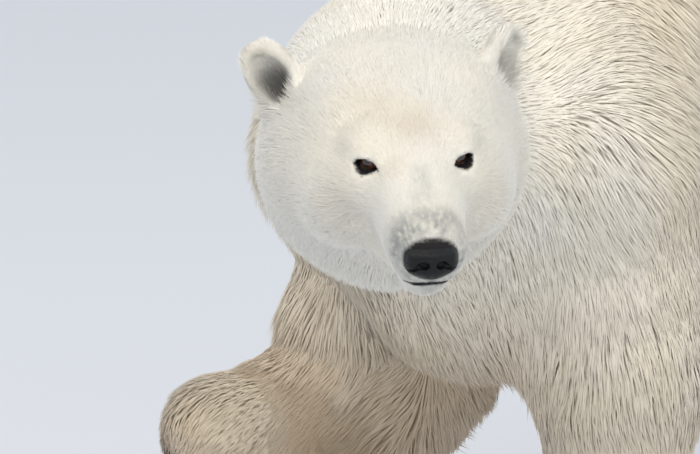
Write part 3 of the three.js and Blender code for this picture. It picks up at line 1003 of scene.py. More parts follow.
def tube_faces(rings: int, around: int) -> list[tuple[int, int, int]]:
    """The sides of a tube that is given ring by ring.

    Args:
        rings: How many rings it has.
        around: How many corners a ring has.

    Returns:
        Three corner numbers for each triangle.
    """
    faces = []
    for ring in range(rings - 1):
        for step in range(around):
            a, b = ring * around + step, ring * around + (step + 1) % around
            faces += [(a, b, b + around), (a, b + around, a + around)]
    return faces


def paint(piece: bpy.types.Object, name: str, values: Array) -> None:
    """Stores one number, or one linear colour, per corner of a piece's mesh.

    Args:
        piece: The piece.
        name: The attribute's name.
        values: A number or a linear colour for each corner.
    """
    if values.ndim == 1:
        layer = piece.data.attributes.new(name, "FLOAT", "POINT")
        layer.data.foreach_set("value", values.astype(np.float32))
        return
    layer = piece.data.attributes.new(name, "FLOAT_COLOR", "POINT")
    colours = np.column_stack([values, np.ones(len(values))])
    layer.data.foreach_set("color", colours.astype(np.float32).ravel())


# ------------------------ the skin


@dataclass(frozen=True)
class Almond(Form):
    """The opening between two lids, in the eye's frame: pointed at both corners."""

    half_width: float
    half_height: float
    centre: float = 0.0

    def at(self, points: Array) -> Array:
        """The distance at each point, seen along the eye's axis; nothing behind the eye is open.

        Args:
            points: Places, one per row, in millimetres.

        Returns:
            The distance at each point, negative inside.
        """
        radius = (self.half_width**2 + self.half_height**2) / (2.0 * self.half_height)
        across, up = points[:, 0] - self.centre, points[:, 2]
        upper = np.hypot(across, up - (self.half_height - radius)) - radius
        lower = np.hypot(across, up + (self.half_height - radius)) - radius
        return np.maximum(np.maximum(upper, lower), points[:, 1] + 1.0)


@dataclass(frozen=True)
class Thread(Form):
    """A round groove or ridge along a line of points, with one radius at each point."""

    line: tuple[Point, ...]
    radii: tuple[float, ...]

    def at(self, points: Array) -> Array:
        """The distance at each point."""
        return np.min([Limb(*self.line[i:i + 2], *self.radii[i:i + 2]).at(points)
                       for i in range(len(self.line) - 1)], axis=0)


@dataclass(frozen=True)
class Dressed(Form):
    """An outline drawn in by the depth of the coat."""

    part: Form
    lie: Lie

    def at(self, points: Array) -> Array:
        """The distance at each point; the coat is only worked out close to the outline.

        Args:
            points: Places, one per row, in millimetres.

        Returns:
            The distance at each point, negative inside.
        """
        distance = self.part.at(points)
        near = (distance > -62.0) & (distance < 14.0)
        distance[near] += self.lie.depth(points[near])
        return distance


@dataclass
class Skin:
    """The whole skin under the coat, with lids, lips, ears and soles.

    `lid` is the thickness of the lids round each eyeball and `slit` half the width and height of
    the opening between them. `mouth` is one half of the closed mouth's line in the head's frame.
    `ear_hair` is the depth of the hair on the ears, `sole_level` the height of the flat soles above
    the floor, and `body_cell` and `head_cell` the spacing of the grid that the skin is meshed on.
    """

    head: Head = field(default_factory=Head)
    torso: Torso = field(default_factory=Torso)
    lid: float = 3.0
    slit: tuple[float, float] = (15.2, 8.2)
    mouth: tuple[Point, ...] = (
        (0, -139, -101), (13, -135, -104), (26, -121, -106),
        (36, -100, -105), (44, -76, -104), (48, -58, -104))
    mouth_radii: tuple[float, ...] = (2.8, 2.6, 2.3, 2.0, 1.6, 0.8)
    ear_hair: float = 2.5
    sole_level: float = 3.0
    body_cell: float = 14.0
    head_cell: float = 4.0

    def __post_init__(self) -> None:
        """Places the head and works out the skin's form."""
        self.head_place = self.head.place()
        self.lie = Lie(self.head_place, self.torso)
        self.mouth_line = self._mouth_line()
        self.form = self._form()

    def _outline(self) -> Form:
        """The animal without its ears, out to the tips of the hair.

        Returns:
            The form in the body's frame.
        """
        body = Melted(90, (self.torso.trunk(), self.torso.neck(self.head_place)))
        body = Melted(65, (body, *(leg.outline() for leg in LEGS)))
        tail = Within(self.torso.tail(), (-150, 480, 600), (150, 820, 1000))
        body = Melted(30, (body, tail))
        head = Placed(self.head_place, self.head.outline(), self.head.reach, self.head.middle)
        return Melted(70, (body, head))

    def _mouth_line(self) -> Array:
        """The closed mouth's line, laid on the skin of the muzzle, in the head's frame.

        Returns:
            Points along one half of the line, one per row.
        """
        dressed = Dressed(self._outline(), self.lie)
        line = settled(dressed, self.head_place.out(np.array(self.mouth, float)), 12, 1.0, 6.0)
        return self.head_place.into(line)

    def _form(self) -> Form:
        """The skin's whole form, with ears, lids, mouth and flat soles.

        Returns:
            The form in the body's frame.
        """
        skin: Form = Dressed(self._outline(), self.lie)
        ears, cups = [], []
        for ear in EARS:
            place = ear.place(self.head_place)
            ears.append(Placed(place, ear.shell(self.ear_hair), 120.0, (0, 0, 30)))
            cups.append(Placed(place, ear.cup(), 100.0, (0, 0, 30)))
        skin = Hollowed(6, Melted(18, (skin, *ears)), tuple(cups))
        lids, slits, ducts = [], [], []
        for side in (1, -1):
            place = self.head.eye_place(side)
            size = self.head.eye_radius
            lids.append(Placed(place, Ball((0, 0, 0), (size + self.lid,) * 3), 60.0))
            slits.append(Placed(place, Almond(*self.slit, -side * 1.5), 60.0))
            slits.append(Placed(place, Ball((0, 0, 0), (size + 0.25,) * 3), 60.0))
            duct = Limb((-side * 10.0, -20.0, 0.0), (-side * 26.0, -28.0, -3.0), 9.0, 4.0)
            ducts.append(Placed(place, duct, 60.0))
        skin = Hollowed(6, skin, tuple(ducts))
        skin = Hollowed(1.2, Melted(9, (skin, *lids)), tuple(slits))
        line = [tuple(point) for point in self.mouth_line]
        mirror = [(-x, y, z) for x, y, z in line]
        lips = Melted(1, (Thread(tuple(line), self.mouth_radii), Thread(tuple(mirror), self.mouth_radii)))
        skin = Hollowed(2.5, skin, (Placed(self.head_place, lips, 260.0, (0, -60, -90)),))
        return Hollowed(4, skin, (Below(self.sole_level),))

    def build(self) -> tuple[Array, Array]:
        """Meshes the form, finer on the head than on the body.

        Returns:
            The corners in the body's frame, and four corner numbers for each face.
        """
        centre = self.head_place.out(np.array([0.0, 45.0, -20.0]))
        lines = []
        for axis, (low, high) in enumerate(((-340, 490), (-1180, 750), (-12, 1090))):
            half = (205, 215, 185)[axis]
            fine_low, fine_high = max(low + 20, centre[axis] - half), min(high - 20, centre[axis] + half)
            lines.append(spaced(low, high, self.body_cell, self.head_cell, fine_low, fine_high))
        points, faces = surface(self.form, tuple(lines))
        points = settled(self.form, points, 2)
        LOG.info("skin: %d corners", len(points))
        return points, faces

    def bare(self, points: Array) -> tuple[Array, Array, Array]:
        """How near places are to the lids' edges, the lips and the nose, in millimetres.

        Args:
            points: Places, one per row, in millimetres.

        Returns:
            The distance to each, one row per place.
        """
        eyes = np.full(len(points), 99.0)
        for side in (1, -1):
            inner = self.head.eye_place(side).into(points)
            close = np.linalg.norm(inner, axis=1) < 45
            slit = Almond(*self.slit, -side * 1.5).at(inner)
            duct = Limb((-side * 14.0, -12.5, 0.0), (-side * 22.0, -17.5, -1.5), 1.6, 0.3).at(inner)
            eyes[close] = np.minimum(slit, duct)[close]
        inner = self.head_place.into(points)
        folded = np.column_stack([np.abs(inner[:, 0]), inner[:, 1:]])
        lips = Thread(tuple(tuple(p) for p in self.mouth_line), (0.0,) * len(self.mouth)).at(folded)
        nose = np.linalg.norm((inner - np.array([0, -143, -66])) / np.array([1.25, 1.0, 1.0]), axis=1)
        return eyes, lips - 3.0 * (1.0 - smooth(folded[:, 0], 10, 26)), nose

    def piece(self, points: Array, faces: Array, shift: Array, markings: "Markings") -> bpy.types.Object:
        """Makes the skin's piece, with its markings and bare edges.

        Args:
            points: The skin's corners in the body's frame.
            faces: Its faces.
            shift: From the body's frame to the model's frame, in millimetres.
            markings: The colours that skin and coat share.

        Returns:
            The piece, in place of all the solids of flesh.
        """
        piece = mesh_of("skin", points, faces, shift)
        tips, under = markings.colours(points)
        paint(piece, "coat_colour", 0.5 * (tips + under))
        eyes, lips, nose = self.bare(points)
        near = np.maximum(1.0 - smooth(eyes, 0.2, 2.0), 1.0 - smooth(lips, 2.4, 4.6))
        paint(piece, "bare", np.maximum(near, 1.0 - smooth(nose, 24.0, 28.0)))
        piece.data.materials.append(WoollyHide().material())
        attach(piece, BODY)
        bare = ("eye", "nose")
        flesh = [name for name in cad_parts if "claw" not in name and not name.startswith(bare)]
        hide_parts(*flesh)
        return piece


# ------------------------ colours of the coat


@dataclass(frozen=True)
class Markings:
    """Where the coat is white, cream, stained tan, grey or black, and where shade is painted into it."""

    head: Place
    ear_places: tuple[Place, ...]
    white: str = "#EFECE3"
    cream: str = "#DED5C3"
    under_white: str = "#EEE9DD"
    under_cream: str = "#E9DFCC"
    tan: str = "#C4A988"
    brown: str = "#B89A78"
    grey: str = "#868C90"
    black: str = "#1E1C1D"
    # dark tips in the ears' hollows: dark hair and painted shade
    ear_dark_and_shade: str = "#38332F"

    stains: tuple[tuple[Point, float, float], ...] = (
        ((-215, -620, 330), 190, 0.85), ((-205, -480, 300), 150, 1.0), ((-110, -480, 420), 150, 0.8),
        ((-226, -830, 300), 130, 0.7), ((110, -470, 360), 150, 0.6), ((182, -492, 120), 130, 0.55),
        ((0, -520, 450), 190, 0.7), ((0, 60, 440), 260, 0.55), ((0, -100, 440), 220, 0.5),
        ((140, 480, 160), 190, 0.6), ((-150, 300, 160), 190, 0.6), ((0, 640, 640), 150, 0.5),
        ((190, -330, 480), 110, 0.45), ((0, 350, 500), 180, 0.45))

    # tan patches on the face, in the head's frame: stains, except the one at (-22, -36, -6), which is painted
    # shade in the hollow between the right eye and the bridge
    face_stains_and_shade: tuple[tuple[Point, float, float], ...] = (
        ((0, 8, 24), 34, 0.34), ((-38, 40, 40), 36, 0.22),
        ((-74, -8, -50), 32, 0.2), ((70, 0, -50), 32, 0.16),
        ((-22, -36, -6), 16, 0.3), ((24, -110, -40), 14, 0.2))

    def stain_and_shade(self, points: Array) -> Array:
        """How stained the hair is at some places, from 0 to 1, with painted shade in the hollow by the right
        eye's inner corner.

        Args:
            points: Places, one per row, in millimetres.

        Returns:
            The share of stain and painted shade at each place.
        """
        total = np.zeros(len(points))
        inner = self.head.into(points)
        for at, reach, amount in self.face_stains_and_shade:
            near = np.linalg.norm(inner - np.array(at), axis=1) / reach
            total = np.maximum(total, amount * np.exp(-near * near))
        for at, reach, amount in self.stains:
            near = np.linalg.norm(points - np.array(at), axis=1) / reach
            total = np.maximum(total, amount * np.exp(-near * near))
        patchy = mottle(points, 90.0, 3) * 0.6 + mottle(points, 30.0, 4) * 0.4
        return np.clip(total * (0.55 + 0.9 * patchy), 0.0, 1.0)

    def faded(self, points: Array) -> Array:
        """How far a place is from the head, from 0 on the face to 1 on the body."""
        return smooth(np.linalg.norm(self.head.into(points) - np.array(Head.middle), axis=1), 215, 520)

    def muzzle(self, points: Array) -> Array:
        """How grey and thin the hair is round the nose and up the bridge.

        Args:
            points: Places, one per row, in millimetres.

        Returns:
            The share of grey at each place.
        """
        inner = self.head.into(points)
        nose = np.linalg.norm((inner - np.array([0, -138, -66])) / np.array([1.1, 1.0, 1.0]), axis=1)
        bridge = Limb((0, -140, -35), (0, -60, 0), 9, 2).at(inner)
        grey = np.maximum(1.0 - smooth(nose, 32, 70), 0.35 * (1.0 - smooth(bridge, 0, 18)))
        return grey * (0.25 + 1.6 * mottle(points, 3.5, 8) * mottle(points, 16.0, 9)).clip(0, 1)

    def ear_hollow_dark_and_shade(self, points: Array) -> Array:
        """Where the inside of the ears is painted dark: dark hair in the hollow, and painted shade there,
        stronger where an ear's `dark` is higher.

        Args:
            points: Places, one per row, in millimetres.

        Returns:
            The share of dark hair at each place.
        """
        dark = np.zeros(len(points))
        for place, ear in zip(self.ear_places, EARS):
            inner = place.into(points)
            middle, radii = np.array([0.0, -14.0, 30.0]), np.array([21.0, 17.0, 30.0])
            hollow = np.linalg.norm((inner - middle) / radii, axis=1)
            dark = np.maximum(dark, ear.dark * (1.0 - smooth(hollow, 0.7, 1.2)))
        return dark

    def colours(self, points: Array) -> tuple[Array, Array]:
        """Reads the colours at some places.

        Args:
            points: Places in the body's frame, one per row.

        Returns:
            The linear colour of the tips, and that of the undercoat, one row per place.
        """
        def of(value: str) -> Array:
            """One hex colour as a row."""
            return np.array(linear(value))[None]

        far = self.faded(points)[:, None]
        tips = of(self.white) * (1 - far) + of(self.cream) * far
        under = of(self.under_white) * (1 - far) + of(self.under_cream) * far
        # tan stains, and the painted shade by the right eye
        stain_and_shade = self.stain_and_shade(points)[:, None]
        tips = tips * (1 - 0.8 * stain_and_shade) + of(self.tan) * 0.8 * stain_and_shade
        under = under * (1 - stain_and_shade) + of(self.brown) * stain_and_shade
        grey = self.muzzle(points)[:, None]
        tips = tips * (1 - 0.75 * grey) + of(self.grey) * 0.75 * grey
        under = under * (1 - 0.9 * grey) + of(self.grey) * 0.7 * grey
        # dark hair and painted shade in the ears' hollows
        ear = self.ear_hollow_dark_and_shade(points)[:, None]
        tips = tips * (1 - 0.8 * ear) + of(self.ear_dark_and_shade) * 0.8 * ear
        under = under * (1 - ear) + of(self.black) * ear
        warm = (mottle(points, 60.0, 5)[:, None] - 0.5) * 0.10
        return tips * (1.0 + warm * np.array([0.2, -0.1, -1.0])), under * (1.0 + warm)


# ------------------------ the coat


class Lock(Enum):
    """The shapes of a lock of hair: how many rings of three corners it has before its tip."""

    SHORT = 1
    LONG = 2


@dataclass(frozen=True)
class Pelt:
    """One piece of the coat: the shape of its locks, and how many layers of them lie over each other."""

    name: str
    lock: Lock
    cover: float


PELTS = (
    Pelt("coat_face", Lock.SHORT, 7.2), Pelt("coat_crown", Lock.SHORT, 7.6),
    Pelt("coat_neck", Lock.LONG, 5.4), Pelt("coat_chest", Lock.LONG, 5.5),
    Pelt("coat_shoulder_left", Lock.LONG, 6.0), Pelt("coat_shoulder_right", Lock.LONG, 3.8),
    Pelt("coat_flanks", Lock.LONG, 4.3), Pelt("coat_rump", Lock.LONG, 3.1),
    Pelt("coat_forelegs", Lock.LONG, 3.7), Pelt("coat_hindlegs", Lock.LONG, 2.6),
    Pelt("coat_feet", Lock.SHORT, 3.0),
)


@dataclass(frozen=True)
class Borders:
    """Where one pelt ends and the next begins, in millimetres.

    The rump is behind `rump`, the shoulders are before `front`. The chest is before `front`, below
    `low_chest` and within `chest_half` of the middle, and before `breast` below `throat`. The neck
    is before `nape` above that. A leg reaches `limb` from its middle line, `above_joint` over elbow
    or knee, and starts `beside_middle`. A foot reaches `foot`, the crown `crown` from the head's
    middle inside `head_box`, and the face is before `face`, both in the head's frame.
    """

    rump: float = 250.0
    front: float = -120.0
    low_chest: float = 560.0
    chest_half: float = 120.0
    breast: float = -620.0
    throat: float = 760.0
    nape: float = -640.0
    limb: float = 90.0
    above_joint: float = 70.0
    beside_middle: float = 60.0
    foot: float = 200.0
    face: float = 62.0
    crown: float = 275.0
    head_box: tuple[Point, Point] = ((-240.0, -1000.0, -220.0), (240.0, 235.0, 190.0))


@dataclass
class Coat:
    """Locks of hair over the skin: each has a root, a lie that follows the coat, and a tip in a clump.

    A root lies `sink` millimetres under the skin, a lock is `fine` times as wide as its area says,
    and its middle stands up by `ridge` times half its width. About `clump` locks share a clump.
    `swirls` gives the size in millimetres, the strength in degrees and the pattern of each swirl of
    the lie, `stray` how many degrees single locks stray from it, and `patch` the width of a lock's
    patch on the map. Tips move towards the tip of their clump by a share of `pull`, the least and
    what is added at most, and less if their root is farther from it than `pull_reach` begins.
    `edges` gives, for lids, lips and nose, the distance at which hair starts and the two between
    which it grows to its full length. Under the feet a share of `bare_sole` of the locks is left
    out. No hair passes below `floor`.
    """

    skin: Skin
    markings: Markings
    points: Array
    faces: Array
    shift: Array
    sink: float = 0.8
    fine: float = 0.8
    clump: float = 9.0
    ridge: float = 0.35
    swirls: tuple[tuple[float, float, int], ...] = ((140.0, 30.0, 11), (40.0, 24.0, 12))
    stray: float = 5.0
    pull: tuple[float, float] = (0.05, 0.35)
    pull_reach: tuple[float, float] = (12.0, 30.0)
    edges: tuple[Point, Point, Point] = ((1.0, 0.0, 17.0), (2.6, -4.0, 14.0), (27.0, 10.0, 50.0))
    bare_sole: float = 0.85
    patch: float = 0.003
    floor: float = 0.8
    borders: Borders = Borders()

    def __post_init__(self) -> None:
        """Measures the skin's triangles and shares them out among the pelts."""
        self.random = np.random.default_rng(SEED)
        self.triangles = np.vstack([self.faces[:, [0, 1, 2]], self.faces[:, [0, 2, 3]]])
        corners = self.points[self.triangles]
        cross = np.cross(corners[:, 1] - corners[:, 0], corners[:, 2] - corners[:, 0])
        self.areas = np.linalg.norm(cross, axis=1) / 2
        self.normals = np.zeros_like(self.points)
        for corner in range(3):
            np.add.at(self.normals, self.triangles[:, corner], cross)
        self.normals = unit(self.normals)
        self.centres = corners.mean(axis=1)
        self.regions = self._regions(self.centres)

    def _regions(self, centres: Array) -> Array:
        """The number of the pelt that each triangle of the skin belongs to.

        Args:
            centres: The middles of the skin's triangles.

        Returns:
            The pelt's number for each triangle.
        """
        edge = self.borders
        names = [pelt.name for pelt in PELTS]
        x, y, z = centres.T
        region = np.full(len(centres), names.index("coat_flanks"))
        region[y > edge.rump] = names.index("coat_rump")
        front = y < edge.front
        left, right = names.index("coat_shoulder_left"), names.index("coat_shoulder_right")
        region[front] = np.where(x[front] > 0, left, right)
        chest = front & (z < edge.low_chest) & (np.abs(x) < edge.chest_half)
        region[chest | ((y < edge.breast) & (z < edge.throat))] = names.index("coat_chest")
        region[(y < edge.nape) & (z >= edge.throat)] = names.index("coat_neck")
        for leg in LEGS:
            limb = Thread((leg.top[0], leg.middle[0], leg.ankle[0]), (100.0, 100.0, 70.0)).at(centres)
            low = (limb < edge.limb) & (z < leg.middle[0][2] + edge.above_joint) & (np.sign(x) == leg.side)
            pelt = names.index("coat_forelegs" if leg.fore else "coat_hindlegs")
            region[low & (np.abs(x) > edge.beside_middle)] = pelt
            foot = leg.foot_place().into(centres)
            near = np.linalg.norm(foot - np.array([0, -60, -90]), axis=1) < edge.foot
            region[near & (foot[:, 2] < -10) & (foot[:, 1] < 100)] = names.index("coat_feet")
        inner = self.skin.head_place.into(centres)
        low_box, high_box = (np.array(corner) for corner in edge.head_box)
        on_head = np.all((inner > low_box) & (inner < high_box), axis=1)
        on_head &= np.linalg.norm(inner - np.array(Head.middle), axis=1) < edge.crown
        region[on_head] = names.index("coat_crown")
        region[on_head & (inner[:, 1] < edge.face)] = names.index("coat_face")
        return region

    def _roots(self, pelt: Pelt) -> tuple[Array, Array]:
        """Spreads the roots of one pelt over its part of the skin.

        Args:
            pelt: The pelt to spread.

        Returns:
            The roots, and the skin's normals there.
        """
        chosen = np.flatnonzero(self.regions == list(PELTS).index(pelt))
        sizes = self.skin.lie(self.centres[chosen])[1]
        wanted = self.areas[chosen] * pelt.cover / (sizes[:, 1] * sizes[:, 2] * self.fine * 0.5)
        count = int(wanted.sum())
        picked = chosen[self.random.choice(len(chosen), count, p=wanted / wanted.sum())]
        a, b = self.random.random((2, count))
        over = a + b > 1.0
        a[over], b[over] = 1.0 - a[over], 1.0 - b[over]
        weights = np.stack([1.0 - a - b, a, b], axis=1)[:, :, None]
        roots = (self.points[self.triangles[picked]] * weights).sum(axis=1)
        return roots, unit((self.normals[self.triangles[picked]] * weights).sum(axis=1))

    def _trimmed(self, roots: Array, normals: Array) -> tuple[Array, Array]:
        """Which roots grow hair, and how much shorter it is there.

        Args:
            roots: The roots of the locks.
            normals: The skin's normals there.

        Returns:
            True where hair grows, and the share of its length that is left.
        """
        grows, length = np.ones(len(roots), bool), np.ones(len(roots))
        for distance, (start, low, high) in zip(self.skin.bare(roots), self.edges):
            grows &= distance > start
            length *= smooth(distance, low, high)
        sole = (roots[:, 2] < 7.0) & (normals[:, 2] < -0.6)
        grows &= ~(sole & (self.random.random(len(roots)) < self.bare_sole))
        return grows, length

    def _lie(self, roots: Array, normals: Array, spread: float) -> tuple[Array, Array]:
        """Combs the hair over the skin, with soft swirls.

        Args:
            roots: The roots of the hair.
            normals: The skin's normals there.
            spread: How strong the swirls are.

        Returns:
            The way each hair runs, and how much of its length lies along the skin: it is less where
            the lie meets the skin head on, as at the point of an elbow.
        """
        lies, _ = self.skin.lie(roots)
        lies = lies - (lies * normals).sum(axis=1, keepdims=True) * normals
        along = 0.18 + 0.82 * smooth(np.linalg.norm(lies, axis=1), 0.15, 0.85)
        lies = unit(lies)
        swirl = sum((mottle(roots, size, seed) - 0.5) * strength for size, strength, seed in self.swirls)
        swirl = np.radians(swirl * spread + self.random.normal(0.0, self.stray, len(roots)))[:, None]
        return unit(lies * np.cos(swirl) + np.cross(normals, lies) * np.sin(swirl)), along[:, None]

    def grow(self, pelt: Pelt) -> bpy.types.Object:
        """Builds one pelt as joined locks.

        Args:
            pelt: The pelt to build.

        Returns:
            The piece, with its colours, its normals and the map it is baked on.
        """
        roots, normals = self._roots(pelt)
        grows, short = self._trimmed(roots, normals)
        roots, normals, short = roots[grows], normals[grows], short[grows][:, None]
        lies, along = self._lie(roots, normals, 1.0 if pelt.lock is Lock.LONG else 0.7)
        depth, length, width = self.skin.lie(roots)[1].T[:, :, None]
        chance = self.random.random((len(roots), 4))[:, :, None]
        length = length * along * (0.7 + 0.55 * chance[:, 0]) * (0.15 + 0.85 * short)
        width = width * self.fine * (0.75 + 0.5 * chance[:, 1]) * (0.6 + 0.4 * short)
        rise = depth * (0.6 + 0.4 * chance[:, 2]) * (0.4 + 0.6 * short)
        tips = roots + lies * length + normals * rise
        if pelt.lock is Lock.LONG:
            tips = self._clumped(roots, tips)
        corners, shading = self._locks(pelt.lock, roots, tips, normals, lies, width)
        count = corners.shape[1]
        faces = self._lock_faces(pelt.lock)[None] + (np.arange(len(roots)) * count)[:, None, None]
        piece = mesh_of(pelt.name, corners.reshape(-1, 3), faces.reshape(-1, 3), self.shift)
        self._paint(piece, roots, chance[:, 3], count)
        self._map(piece, roots, normals, pelt.lock)
        piece.data.normals_split_custom_set_from_vertices(shading.reshape(-1, 3))
        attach(piece, BODY)
        LOG.info("%s: %d locks, %d triangles", pelt.name, len(roots), len(faces) * faces.shape[1])
        return piece

    def _locks(self, lock: Lock, roots: Array, tips: Array, normals: Array, lies: Array,
               width: Array) -> tuple[Array, Array]:
        """Shapes locks like long narrow roofs that end in a tip.

        Args:
            lock: The shape of the locks.
            roots: The roots of the locks.
            tips: The tips of the locks.
            normals: The skin's normals at the roots.
            lies: The way each lock runs along the skin.
            width: The width of each lock, one per row.

        Returns:
            The corners of each lock, and the shading normals there.
        """
        sides = unit(np.cross(normals, lies))
        reach = tips - roots
        lift = (reach * normals).sum(axis=1, keepdims=True)
        flat = reach - lift * normals
        rings = ((0.0, -self.sink, 0.8), (0.46, 0.72 * lift, 1.0))
        corners, shading = [], []
        for share, height, broad in rings[:lock.value]:
            centre = roots + flat * share + normals * height
            half = width * broad / 2
            corners += [centre + sides * half, centre + normals * half * self.ridge, centre - sides * half]
            shading += [normals + sides * 0.3, normals, normals - sides * 0.3]
        corners = np.stack([*corners, tips], axis=1)
        corners[..., 2] = np.maximum(corners[..., 2], self.floor)
        return corners, unit(np.stack([*shading, normals + lies * 0.25], axis=1))

    def _clumped(self, roots: Array, tips: Array) -> Array:
        """Draws the tips of neighbouring hairs together.

        Args:
            roots: The roots of the locks.
            tips: The tips of the locks.

        Returns:
            The new tips.
        """
        heads = self.random.choice(len(roots), max(1, int(len(roots) / self.clump)), replace=False)
        tree = kdtree.KDTree(len(heads))
        for index, head in enumerate(heads):
            tree.insert(roots[head], index)
        tree.balance()
        nearest = heads[np.array([tree.find(root)[1] for root in roots])]
        pull = self.pull[0] + self.pull[1] * mottle(roots, 70.0, 21)[:, None] ** 1.5
        gap = np.linalg.norm(roots - roots[nearest], axis=1, keepdims=True)
        pull = pull * (1.0 - smooth(gap, *self.pull_reach))
        return tips * (1 - pull) + tips[nearest] * pull

    @staticmethod
    def _lock_faces(lock: Lock) -> Array:
        """Corner numbers of the triangles of one lock.

        Args:
            lock: The shape of the locks.

        Returns:
            Three corner numbers for each triangle.
        """
        faces = []
        for ring in range(lock.value):
            low = 3 * ring
            for corner in (0, 1):
                after = corner + 1
                if ring == lock.value - 1:
                    faces.append((low + corner, low + after, low + 3))
                else:
                    faces.append((low + corner, low + after, low + 3 + after))
                    faces.append((low + corner, low + 3 + after, low + 3 + corner))
        return np.array(faces)

    def _paint(self, piece: bpy.types.Object, roots: Array, chance: Array, count: int) -> None:
        """Colours each lock from its undercoat at the root to its tip.

        Args:
            piece: The piece to colour.
            roots: The roots of the locks.
            chance: A random number for each lock.
            count: How many corners a lock has.
        """
        tips, under = self.markings.colours(roots)
        along = np.append(np.repeat(np.linspace(0.0, 0.8, count // 3), 3), 1.0)
        lightness = 0.91 + 0.14 * chance
        mixed = (under[:, None] * (1 - along[None, :, None]) + tips[:, None] * along[None, :, None])
        paint(piece, "coat_colour", (mixed * lightness[:, None]).reshape(-1, 3))
        paint(piece, "lock_along", np.tile(along, len(roots)))

    def _map(self, piece: bpy.types.Object, roots: Array, normals: Array, lock: Lock) -> None:
        """Gives each lock a small patch at its root's place on six charts, one for each side of the skin.

        Args:
            piece: The piece to map.
            roots: The roots of the locks.
            normals: The skin's normals there.
            lock: The shape of the locks.
        """
        axis = np.abs(normals).argmax(axis=1)
        sign = normals[np.arange(len(roots)), axis] > 0
        low, high = roots.min(axis=0), roots.max(axis=0)
        share = (roots - low) / (high - low).max()
        first = np.where(axis == 0, share[:, 1], share[:, 0])
        second = np.where(axis == 2, share[:, 1], share[:, 2])
        place = np.column_stack([(axis + 0.04 + 0.92 * first) / 3.0, (sign + 0.04 + 0.92 * second) / 2.0])
        rings = lock.value
        half_width = self.patch / 2.0 - 0.0002
        spots = [((corner - 1) * half_width, (ring / rings - 0.5) * self.patch)
                 for ring in range(rings) for corner in range(3)]
        spots.append((0.0, self.patch / 2.0))
        places = (place[:, None] + np.array(spots)[None]).reshape(-1, 2)
        layer = piece.data.uv_layers.new(name="OFBake")
        loops = np.empty(len(piece.data.loops), np.int32)
        piece.data.loops.foreach_get("vertex_index", loops)
        layer.uv.foreach_set("vector", places[loops].astype(np.float32).ravel())


# ------------------------ finishes


def add(tree: bpy.types.NodeTree, kind: str, links: dict[str | int, bpy.types.NodeSocket] | None = None,
        **settings: object) -> bpy.types.Node:
    """Adds a node with its settings and links.

    Args:
        tree: The material's nodes.
        kind: The node's type.
        links: For each input, by name or number, the output socket that feeds it.
        settings: Values for inputs, with _ for a space, or for the node's own properties.

    Returns:
        The new node.
    """
    node = tree.nodes.new(kind)
    for name, value in settings.items():
        if hasattr(node, name):
            setattr(node, name, value)
        else:
            node.inputs[name.replace("_", " ")].default_value = value
    for name, socket in (links or {}).items():
        tree.links.new(socket, node.inputs[name])
    return node


@dataclass(frozen=True)
class Finish:
    """A finish: what the real surface is, and the shader that gives its look."""

    name: str = "finish"
    roughness: float = 0.5
    ior: float = 1.5
    specular: float = 0.5

    def colour(self, tree: bpy.types.NodeTree) -> bpy.types.NodeSocket:
        """The socket that gives the surface's colour."""
        raise NotImplementedError

    def relief(self, tree: bpy.types.NodeTree) -> tuple[bpy.types.NodeSocket, float] | None:
        """The socket that gives the surface's height, and the real height in metres, if it has any."""
        return None

    def special(self, shader: bpy.types.Node) -> None:
        """Settings that only this finish has."""

    def material(self) -> bpy.types.Material:
        """Builds the material.

        Returns:
            The material.
        """
        material = bpy.data.materials.new(self.name)
        material.use_nodes = True
        tree = material.node_tree
        shader = tree.nodes["Principled BSDF"]
        shader.inputs["Roughness"].default_value = self.roughness
        shader.inputs["IOR"].default_value = self.ior
        shader.inputs["Specular IOR Level"].default_value = self.specular
        tree.links.new(self.colour(tree), shader.inputs["Base Color"])
        relief = self.relief(tree)
        if relief:
            height, distance = relief
            bump = add(tree, "ShaderNodeBump", {"Height": height}, Strength=1.0, Distance=distance)
            tree.links.new(bump.outputs["Normal"], shader.inputs["Normal"])
        self.special(shader)
        return material


def blotches(tree: bpy.types.NodeTree, size: float, detail: float = 3.0) -> bpy.types.NodeSocket:
    """Soft noise in the model's own space whose blotches are `size` millimetres across.

    Args:
        tree: The material's nodes.
        size: Width of a blotch in millimetres.
        detail: How many finer layers it has.

    Returns:
        The socket with the noise.
    """
    place = add(tree, "ShaderNodeTexCoord").outputs["Object"]
    noise = add(tree, "ShaderNodeTexNoise", {"Vector": place}, Scale=1.0 / (size * MM), Detail=detail)
    return noise.outputs["Fac"]


def pebbles(tree: bpy.types.NodeTree, size: float) -> bpy.types.NodeSocket:
    """Rounded cells in the model's own space, `size` millimetres apart.

    Args:
        tree: The material's nodes.
        size: Width of a cell in millimetres.

    Returns:
        The socket with the distance from the middle of a cell.
    """
    place = add(tree, "ShaderNodeTexCoord").outputs["Object"]
    cells = add(tree, "ShaderNodeTexVoronoi", {"Vector": place}, Scale=1.0 / (size * MM))
    return cells.outputs["Distance"]


def toned(tree: bpy.types.NodeTree, colour: bpy.types.NodeSocket, share: bpy.types.NodeSocket, dark: float,
          light: float) -> bpy.types.NodeSocket:
    """A colour made darker and lighter by a pattern.

    Args:
        tree: The material's nodes.
        colour: The socket with the colour.
        share: The socket with the pattern.
        dark: The tone where the pattern is 0.
        light: The tone where it is 1.

    Returns:
        The socket with the new colour.
    """
    tone = add(tree, "ShaderNodeMapRange", {"Value": share}, To_Min=dark, To_Max=light).outputs["Result"]
    grey = add(tree, "ShaderNodeCombineColor", {"Red": tone, "Green": tone, "Blue": tone}).outputs["Color"]
    mixed = add(tree, "ShaderNodeMix", data_type="RGBA", blend_type="MULTIPLY")
    mixed.inputs[0].default_value = 1.0
    tree.links.new(colour, mixed.inputs[6])
    tree.links.new(grey, mixed.inputs[7])
    return mixed.outputs[2]


